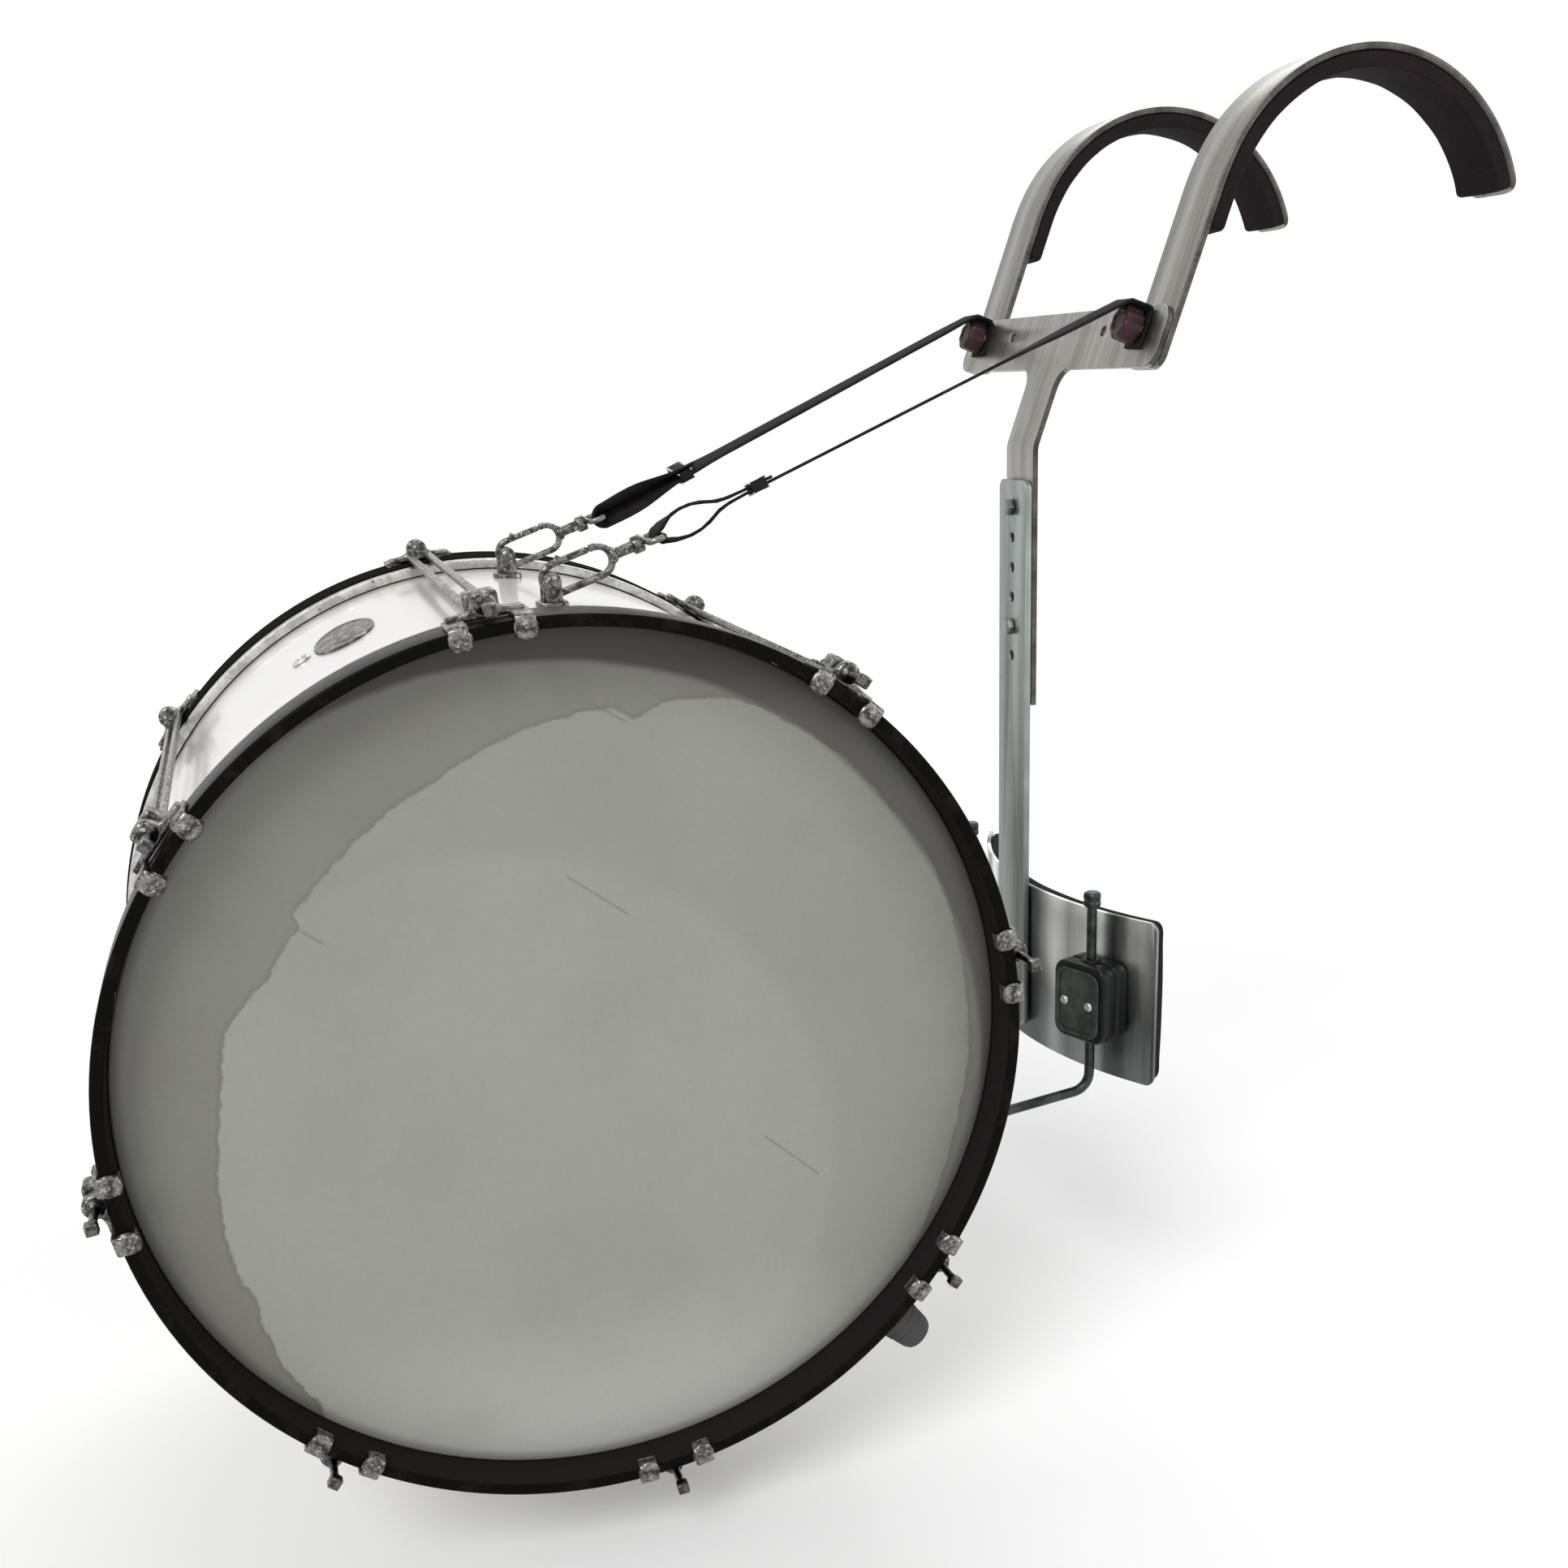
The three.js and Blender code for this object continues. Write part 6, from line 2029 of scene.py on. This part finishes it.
@dataclass
class ChestPlate:
    """Upper bar and chest plate cut and bent from one blank, the lower bar, and the bolts that join them."""

    bend_height: float = 328
    back: float = 352.8
    thickness: float = 4
    bend_radius: float = 18
    bar: float = 42
    low: float = 156
    rise: float = 51
    height: float = 37
    span: float = 290
    corner: float = 11
    fillet: float = 13
    knobs: float = 117
    spares: float = 68
    knob_rise: float = 74
    hole: float = 3.4
    grip: float = 11
    front: float = 343.5
    lower_top: float = 306
    lower_bottom: float = -79
    hole_top: float = 288
    hole_pitch: float = 20
    hole_count: int = 6
    bolt_steps: tuple[int, int] = (0, 4)

    def knob(self, side: int) -> Vector:
        """Where a strap knob's axis meets the front of the plate."""
        foot = Vector((self.back - self.thickness, side * self.knobs, self.bend_height))
        return foot + LEAN_UP * self.knob_rise

    def build(self, bench: Bench) -> None:
        """Makes the bars, the plate and the bolts.

        Args:
            bench: Where the pieces go.
        """
        slot_name = "carrier_aluminium"
        bench.add("chest_bar", self._blank(), [Wear.BAR, Wear.EDGE_PAINTED_SHADE], "carrier", slot_name, "chest_plate", crease=50)
        bench.add("upright_bar", self._lower(), [Wear.UPRIGHT], "carrier", slot_name, "lower_bar", crease=50)
        for number, step in enumerate(self.bolt_steps, 1):
            bolt = self._bolt(self.hole_top - step * self.hole_pitch)
            bench.add(f"hex_bolt_{number}", bolt, [Wear.ROD], "carrier", "bright_steel", f"bar_bolt_{number}")

    def _blank(self) -> Form:
        """The flat blank with its holes, then bent about its middle surface.

        Returns:
            The form.
        """
        turn = math.radians(CARRIER_LEAN)
        middle = self.back - self.thickness / 2
        shift = self.thickness / 2 * math.tan(turn / 2)
        reach = self.bend_radius * math.tan(turn / 2)
        bend_start = self.bend_height - shift - reach
        length = self.bend_radius * turn
        bend_end = bend_start + length
        plate_low = bend_end + self.rise + shift - reach
        top, bar, half = plate_low + self.height, self.bar / 2, self.span / 2
        fillet, corner = self.fillet, self.corner
        right = [(bar, self.low), (bar, plate_low - fillet)]
        right += arc((bar + fillet, plate_low - fillet), fillet, 180, 90, 6)[1:]
        right += arc((half - corner, plate_low + corner), corner, -90, 0, 6)
        right += arc((half - corner, top - corner), corner, 0, 90, 6)
        left = [(-y, z) for y, z in right[::-1]]
        knob_height = bend_end + self.knob_rise + shift - reach
        holes = [ring((side * y, knob_height), self.hole, 20) for side in (-1, 1) for y in (self.knobs, self.spares)]
        holes += [ring((0, self.hole_top - step * self.hole_pitch), self.hole, 20) for step in self.bolt_steps]
        form = Form()
        form.plate([right + left] + holes, self.thickness, plane(ORIGIN, ALONG_Y, ALONG_Z), edge=0.45, centred=True)
        for i in range(9):
            form.slice_across(Vector((0, 0, bend_start + length * i / 8)), ALONG_Z)

        def bent(point: Vector) -> Vector:
            """Where a point of the flat blank comes to lie."""
            angle = min(max(point.z - bend_start, 0), length) / self.bend_radius
            rest = max(point.z - bend_end, 0)
            x = middle + self.bend_radius * (1 - math.cos(angle)) + rest * math.sin(angle) + point.x * math.cos(angle)
            z = min(point.z, bend_start) + (self.bend_radius - point.x) * math.sin(angle) + rest * math.cos(angle)
            return Vector((x, point.y, z))

        form.remap(bent)
        # Side faces take the darker copy: painted shade.
        form.mark(lambda face: abs(face.normal.y) > 0.6)
        return form

    def _lower(self) -> Form:
        """The upright bar with its row of holes.

        Returns:
            The form.
        """
        height = self.lower_top - self.lower_bottom
        middle = Vector((self.front, 0, self.lower_bottom + height / 2))
        outlines = [rounded(self.bar, height, 6, 6)]
        for step in range(self.hole_count):
            outlines.append(ring((0, self.hole_top - step * self.hole_pitch - middle.z), self.hole, 20))
        form = Form()
        form.plate(outlines, 5, plane(middle, ALONG_Y, ALONG_Z), edge=0.6)
        return form

    def _bolt(self, height: float) -> Form:
        """Hexagon head and nut with chamfered corners, and the threaded shank between them.

        Args:
            height: How high it sits.

        Returns:
            The form.
        """
        form = Form()
        for start, depth, way in ((self.front - SEAT_GAP, 4, -1), (self.back + SEAT_GAP, 5, 1)):
            foot = Vector((start, 0, height))
            hexagon = [(5.8 * math.cos(math.radians(60 * i)), 5.8 * math.sin(math.radians(60 * i))) for i in range(6)]
            form.plate([hexagon], depth, plane(foot, ALONG_Y * way, ALONG_Z), edge=0.6)
            form.turn([(4.9, depth - 0.7), (4.7, depth - 0.1), (0, depth)], foot, ALONG_X * way, 24)
        form.thread(Vector((self.back, 0, height)), ALONG_X, -10, 6.2, 3, 0.35, 1.25)
        return form


CHEST = ChestPlate()


@dataclass
class StrapKnobs:
    """Lobed hand knobs that clamp the straps and the hook feet to the chest plate."""

    lobes: int = 8
    lobe: float = 1.3
    height: float = 12
    washer: float = 8
    stem: float = 12.3

    def build(self, bench: Bench) -> None:
        """Makes both knobs.

        Args:
            bench: Where the pieces go.
        """
        for name, side in SIDES.items():
            node = f"strap_knob_{name}"
            knob = self._knob(side)
            bench.add(f"hand_knob_{name}", knob, [Wear.GRIP, Wear.PLATE], node, "knob_plastic", node, crease=45)

    def _knob(self, side: int) -> Form:
        """Washer, threaded stem and lobed grip with a domed top.

        Args:
            side: -1 near, 1 far.

        Returns:
            The form.
        """
        point = CHEST.knob(side)
        form = Form()
        base = point + LEAN_OUT * 4.1
        steps = self.lobes * 12
        levels = [(0.90, 0), (0.965, 0.5), (1.0, 1.4), (1.0, 9.0), (0.985, 10.3), (0.93, 11.3), (0.84, 11.8)]
        levels += [(0.7, 12.0), (0.55, 11.9), (0.5, 11.3), (0.3, 11.2)]
        rings = []
        for scale, height in levels:
            points = []
            for i in range(steps):
                turn = 2 * math.pi * i / steps
                flute = self.lobe * (1 + math.cos(self.lobes * turn)) / 2 * min(1.0, max(scale - 0.45, 0) * 2)
                radius = (CHEST.grip - flute) * scale
                way = LEAN_UP * math.cos(turn) + ALONG_Y * math.sin(turn)
                points.append(base + LEAN_OUT * height + way * radius)
            rings.append(points)
        form.skin([[base]] + rings + [[base + LEAN_OUT * 11.2]], caps=False)
        washer = [(3.2, 0), (self.washer - 0.3, 0), (self.washer, 0.3), (self.washer, 1.4), (self.washer - 0.4, 1.8)]
        form.turn(washer + [(3.2, 1.9)], point + LEAN_OUT * 2.4, LEAN_OUT, 32, closed=True, finish=1)
        form.thread(point + LEAN_OUT * 4.5, LEAN_OUT, -(self.stem + 4.5), 0, 3, 0.4, 1.5, finish=1)
        return form


@dataclass
class ShoulderHarness:
    """The two arched hooks over the shoulders with their foam."""

    middle: float = 124
    width: float = 42
    thickness: float = 4
    leg: float = 107
    knee: tuple[float, float] = (160, 8)
    arch: tuple[float, float] = (107, 138)
    corner: float = 9
    pad_start: float = 84
    pad_thickness: float = 9
    pad_half: float = 20.2

    def build(self, bench: Bench) -> None:
        """Makes both hooks and their pads.

        Args:
            bench: Where the pieces go.
        """
        for name, side in SIDES.items():
            hook, node = self._hook(side), f"shoulder_hook_{name}"
            finishes = [Wear.BAR, Wear.EDGE_PAINTED_SHADE]
            bench.add(f"arched_hook_{name}", hook, finishes, "carrier", "carrier_aluminium", node, crease=50)
            foam, node = self._pad(side), f"shoulder_pad_{name}"
            pad = bench.add(f"foam_pad_{name}", foam, [Wear.FOAM], "carrier", "black_foam", node, crease=60)

    @property
    def length(self) -> float:
        """The hook's length along its outer face."""
        return self.leg + self.knee[0] * math.radians(self.knee[1]) + self.arch[0] * math.radians(self.arch[1])

    def station(self, distance: float, inset: float) -> tuple[Vector, Vector]:
        """A point at a distance along the hook and below its outer face, and the way to the wearer.

        Args:
            distance: How far along the hook.
            inset: How far below its outer face.

        Returns:
            Both vectors.
        """
        foot = Vector((CHEST.back - CHEST.thickness, 0, CHEST.bend_height)) + LEAN_UP * 52 - LEAN_OUT * 4.3
        point = Vector((foot.x, foot.z))
        heading = math.radians(90 - CARRIER_LEAN)
        rest = distance
        runs = [(math.inf, self.leg)]
        runs += [(radius, radius * math.radians(turn)) for radius, turn in (self.knee, self.arch)]
        for radius, length in runs:
            run = min(rest, length)
            if radius == math.inf:
                point += Vector((math.cos(heading), math.sin(heading))) * run
            else:
                after = heading - run / radius
                point += Vector((math.sin(heading) - math.sin(after), math.cos(after) - math.cos(heading))) * radius
                heading = after
            rest -= run
        inward = Vector((math.sin(heading), -math.cos(heading)))
        point += inward * inset
        return Vector((point.x, 0, point.y)), Vector((inward.x, 0, inward.y))

    def _hook(self, side: int) -> Form:
        """The bent strip with rounded ends and eased edges.

        Args:
            side: -1 near, 1 far.

        Returns:
            The form.
        """
        rings = []
        for distance, half in strip_stations(0, self.length, self.width / 2, self.corner, 90, 7):
            face, inward = self.station(distance, 0)
            centre, section = face + ALONG_Y * side * self.middle, strip_section(half, self.thickness, 0.7)
            rings.append([centre + ALONG_Y * y + inward * depth for y, depth in section])
        form = Form()
        form.skin(rings)
        # Side faces take the darker copy: painted shade.
        form.mark(lambda face: abs(face.normal.y) > 0.6)
        return form

    def _pad(self, side: int) -> Form:
        """The foam lining, flat on its hook and crowned towards the wearer.

        Args:
            side: -1 near, 1 far.

        Returns:
            The form.
        """
        rings = []
        end = self.length - 3.2
        for distance, half in strip_stations(self.pad_start, end, self.pad_half, 3.6, 100, 6):
            depth = self.pad_thickness - (self.pad_half - half) * 0.5
            centre, _ = self.station(distance, 0)
            points = []
            for across, rise in foam_section(half, depth, 1.6, 1.6):
                sway = noise.noise(Vector((distance * 0.05, across * 0.08, side * 3.0))) * 0.35 * min(rise / 4, 1)
                point, _ = self.station(distance, self.thickness + SEAT_GAP + rise + sway)
                points.append(point + ALONG_Y * (side * self.middle + across))
            rings.append(points)
        form = Form()
        form.skin(rings)
        return form


@dataclass
class BellyRest:
    """Curved belly plate with its foam, the rod clamps, the J-rods and their sockets on the shell."""

    axis: float = 606.8
    radius: float = 258
    thickness: float = 3
    turn: float = 31.55
    top: float = 27
    height: float = 115
    corner: float = 6
    foam: float = 10
    clamp_turn: float = 22.2
    clamp_rise: float = -31
    clamp_depth: float = 24
    block: tuple[float, float, float] = (44, 54, 9)
    cover: tuple[float, float, float] = (36, 46, 8)
    rod: float = 3.4
    rod_top: float = 35
    elbow: float = -96
    elbow_radius: float = 13
    leg_drop: float = 7
    socket_floor: float = 5

    def build(self, bench: Bench) -> None:
        """Makes the plate, its foam, and both clamps with their rods and sockets.

        Args:
            bench: Where the pieces go.
        """
        bench.add("curved_plate", self._plate(), [Wear.REST], "carrier", "carrier_aluminium", "belly_plate", crease=50)
        foam = bench.add("foam_lining", self._foam(), [Wear.FOAM], "carrier", "black_foam", "belly_foam", crease=60)
        for name, side in SIDES.items():
            for piece, form, finishes, body, slot_name, node in (
                ("clamp_block", self._clamp(side), [Wear.BLOCK], "carrier", "black_rubber", "rod_clamp"),
                ("cover_plate", self._cover(side), [Wear.COVER, Wear.BAND], "carrier", "dark_steel", "clamp_cover"),
                ("bent_rod", self._rod(side), [Wear.SHAFT], "drum", "bright_steel", "j_rod"),
                ("shell_socket", self._socket(side), [Wear.PLATE], "drum", "nickel_plate", "rod_socket"),
            ):
                bench.add(f"{piece}_{name}", form, finishes, body, slot_name, f"{node}_{name}", crease=50)

    def _point(self, angle: float, radius: float, height: float) -> Vector:
        """A point on the round of the plate, the angle in radians from its middle."""
        return Vector((self.axis - radius * math.cos(angle), radius * math.sin(angle), height))

    def _plate(self) -> Form:
        """The bent plate with rounded corners and eased edges.

        Returns:
            The form.
        """
        reach, middle = self.radius * math.radians(self.turn), self.top - self.height / 2
        rings = []
        for distance, half in strip_stations(-reach, reach, self.height / 2, self.corner, 64, 7):
            angle, section = distance / self.radius, strip_section(half, self.thickness, 0.6)
            rings.append([self._point(angle, self.radius - depth, middle + z) for z, depth in section])
        form = Form()
        form.skin(rings)
        return form

    def _foam(self) -> Form:
        """The foam lining, flat on the plate and crowned towards the wearer.

        Returns:
            The form.
        """
        seat = self.radius - self.thickness - SEAT_GAP
        reach, middle = self.radius * math.radians(self.turn) - 1.5, self.top - self.height / 2
        widest = self.height / 2 - 1.5
        rings = []
        for distance, half in strip_stations(-reach, reach, widest, 6, 64, 6):
            angle, depth = distance / self.radius, self.foam - (widest - half) * 0.5
            points = []
            for across, rise in foam_section(half, depth, 3, 1.6):
                sway = noise.noise(Vector((distance * 0.03, across * 0.04, 7.0))) * 0.4 * min(rise / 4, 1)
                points.append(self._point(angle, seat - rise - sway, middle + across))
            rings.append(points)
        form = Form()
        form.skin(rings)
        return form

    def _clamp_place(self, side: int, distance: float) -> tuple[Vector, Vector, Vector]:
        """A point in front of the plate at a clamp, with the ways across and out.

        Args:
            side: -1 near, 1 far.
            distance: How far in front of the plate.

        Returns:
            The point and both ways.
        """
        turn = math.radians(self.clamp_turn)
        out = Vector((-math.cos(turn), side * math.sin(turn), 0))
        right = ALONG_Z.cross(out)
        return self._point(side * turn, self.radius, self.clamp_rise) + out * distance, right, out

    def _rod_axis(self, side: int) -> Vector:
        """The middle of a clamp, where the rod's upright passes."""
        return self._clamp_place(side, SEAT_GAP + self.clamp_depth / 2)[0]

    def _clamp(self, side: int) -> Form:
        """The block with its parting groove and a collar round the rod at each end.

        Args:
            side: -1 near, 1 far.

        Returns:
            The form.
        """
        foot, right, out = self._clamp_place(side, 0.9)
        axis = self._rod_axis(side)
        width, height, corner = self.block
        form = Form()
        form.plate([rounded(width, height, corner, 8)], 10.6, plane(foot, right, ALONG_Z), edge=1.2)
        form.plate([rounded(width - 2, height - 2, corner - 1, 8)], 16, plane(foot + out * 6, right, ALONG_Z), edge=1)
        form.plate([rounded(width, height, corner, 8)], 11.2, plane(foot + out * 12.2, right, ALONG_Z), edge=1.8)
        form.plate([rounded(width - 4, height - 4, corner, 8)], 3, plane(foot - out * 0.6, right, ALONG_Z), edge=0.5)
        collar = [(0, 0), (6.6, 0), (6.6, 1.2), (6.0, 1.9), (5.0, 2.1), (0, 2.1)]
        for end in (-1, 1):
            foot = Vector((axis.x, axis.y, self.clamp_rise + end * (height / 2 - 0.4)))
            form.turn(collar, foot, ALONG_Z * end, 28)
        return form

    def _cover(self, side: int) -> Form:
        """The cover plate with a raised border, a sunk panel and two slotted screws.

        Args:
            side: -1 near, 1 far.

        Returns:
            The form.
        """
        foot, right, out = self._clamp_place(side, self.clamp_depth + 2 * SEAT_GAP)
        width, height, corner = self.cover
        form = Form()
        form.plate([rounded(width, height, corner, 8)], 1.4, plane(foot, right, ALONG_Z), edge=0.5)
        border = [rounded(width, height, corner, 8), rounded(width - 5, height - 5, corner - 2, 8)]
        form.plate(border, 1.0, plane(foot + out, right, ALONG_Z), edge=0.4)
        for sign in (-1, 1):
            at = foot + right * sign * 10.5
            head = [(3.2, 1.3), (3.2, 2.2), (2.8, 3.0), (1.9, 3.5), (0.9, 3.6), (0, 3.6)]
            form.turn(head, at, out, 24, finish=1)
            form.rod(at + out * 3.5 - ALONG_Z * 2.4, at + out * 3.5 + ALONG_Z * 2.4, 0.3, 6, 0.1)
        return form

    def _leg(self) -> tuple[Vector, float, Vector]:
        """The rod leg's start, its length to the shell, and its direction.

        Returns:
            All three.
        """
        turn = math.radians(self.leg_drop)
        way = Vector((-math.cos(turn), 0, -math.sin(turn)))
        start = Vector((self._rod_axis(1).x, 0, self.elbow))
        along = -start.dot(way)
        nearest = start + way * along
        return start, along - math.sqrt(SHELL_RADIUS**2 - nearest.length_squared) - self.socket_floor, way

    def _rod(self, side: int) -> Form:
        """A round rod, upright through its clamp and then bent forward, with a knob on top.

        Args:
            side: -1 near, 1 far.

        Returns:
            The form.
        """
        axis = self._rod_axis(side)
        start, reach, way = self._leg()
        end = start + way * reach
        corners = [(axis.x, self.rod_top + 4.5), (axis.x, self.elbow), (end.x, end.z)]
        path = [Vector((x, axis.y, z)) for x, z in rounded_path(corners, self.elbow_radius, 12)]
        form = Form()
        form.sweep(path, ring((0, 0), self.rod, 20), ALONG_Y)
        knob = [(0, -1), (3.8, -1), (5.2, -0.8), (5.8, 0), (5.8, 2.4), (5.4, 2.8), (5.4, 4), (5.8, 4.4), (5.8, 7)]
        knob += [(5.3, 8.2), (4.2, 8.9), (0, 9)]
        form.turn(knob, Vector((axis.x, axis.y, self.rod_top)), ALONG_Z, 32)
        return form

    def _socket(self, side: int) -> Form:
        """The tube on a foot that takes the rod's end, screwed to the shell.

        Args:
            side: -1 near, 1 far.

        Returns:
            The form.
        """
        start, reach, way = self._leg()
        aside = ALONG_Y * self._rod_axis(side).y
        end = start + way * reach + aside
        form = Form()
        bore = self.rod + SEAT_GAP
        tube = [(0, 0.3), (bore, 0.3), (bore, -22), (7.6, -22), (8.3, -21.2), (8.3, -16), (7.8, -15.4), (7.8, -12)]
        form.turn(tube + [(8.3, -11.4), (8.3, 9), (0, 9)], end, way, 32)
        seat = start + way * (reach + self.socket_floor)
        out = seat.normalized()
        right = ALONG_Y.cross(out)
        low = out * (SHELL_RADIUS - 0.6) + aside
        form.plate([rounded(44, 34, 8.5, 7)], 4.6, plane(low, right, ALONG_Y), edge=1.0)
        for across in (-1, 1):
            for along in (-1, 1):
                screw = low + out * 4.5 + right * across * 16 + ALONG_Y * along * 11
                form.turn([(3, 0), (3, 0.5), (2.4, 1.3), (1.2, 1.7), (0, 1.8)], screw, out, 20)
        form.push_out(ORIGIN, SHELL_RADIUS + SEAT_GAP, ALONG_Y)
        return form


def main() -> None:
    """Builds the stage and every sub-assembly."""
    logging.basicConfig(level=logging.INFO, format="%(name)s %(message)s")
    bench = Bench()
    Studio().build(bench)
    for assembly in (
        DrumBody(),
        TensionSet(),
        ShellFittings(),
        StrapSet(),
        CHEST,
        StrapKnobs(),
        ShoulderHarness(),
        BellyRest(),
    ):
        log.info("building %s", type(assembly).__name__)
        assembly.build(bench)
    log.info("%d pieces in place", bench.count)


if __name__ == "__main__":
    main()
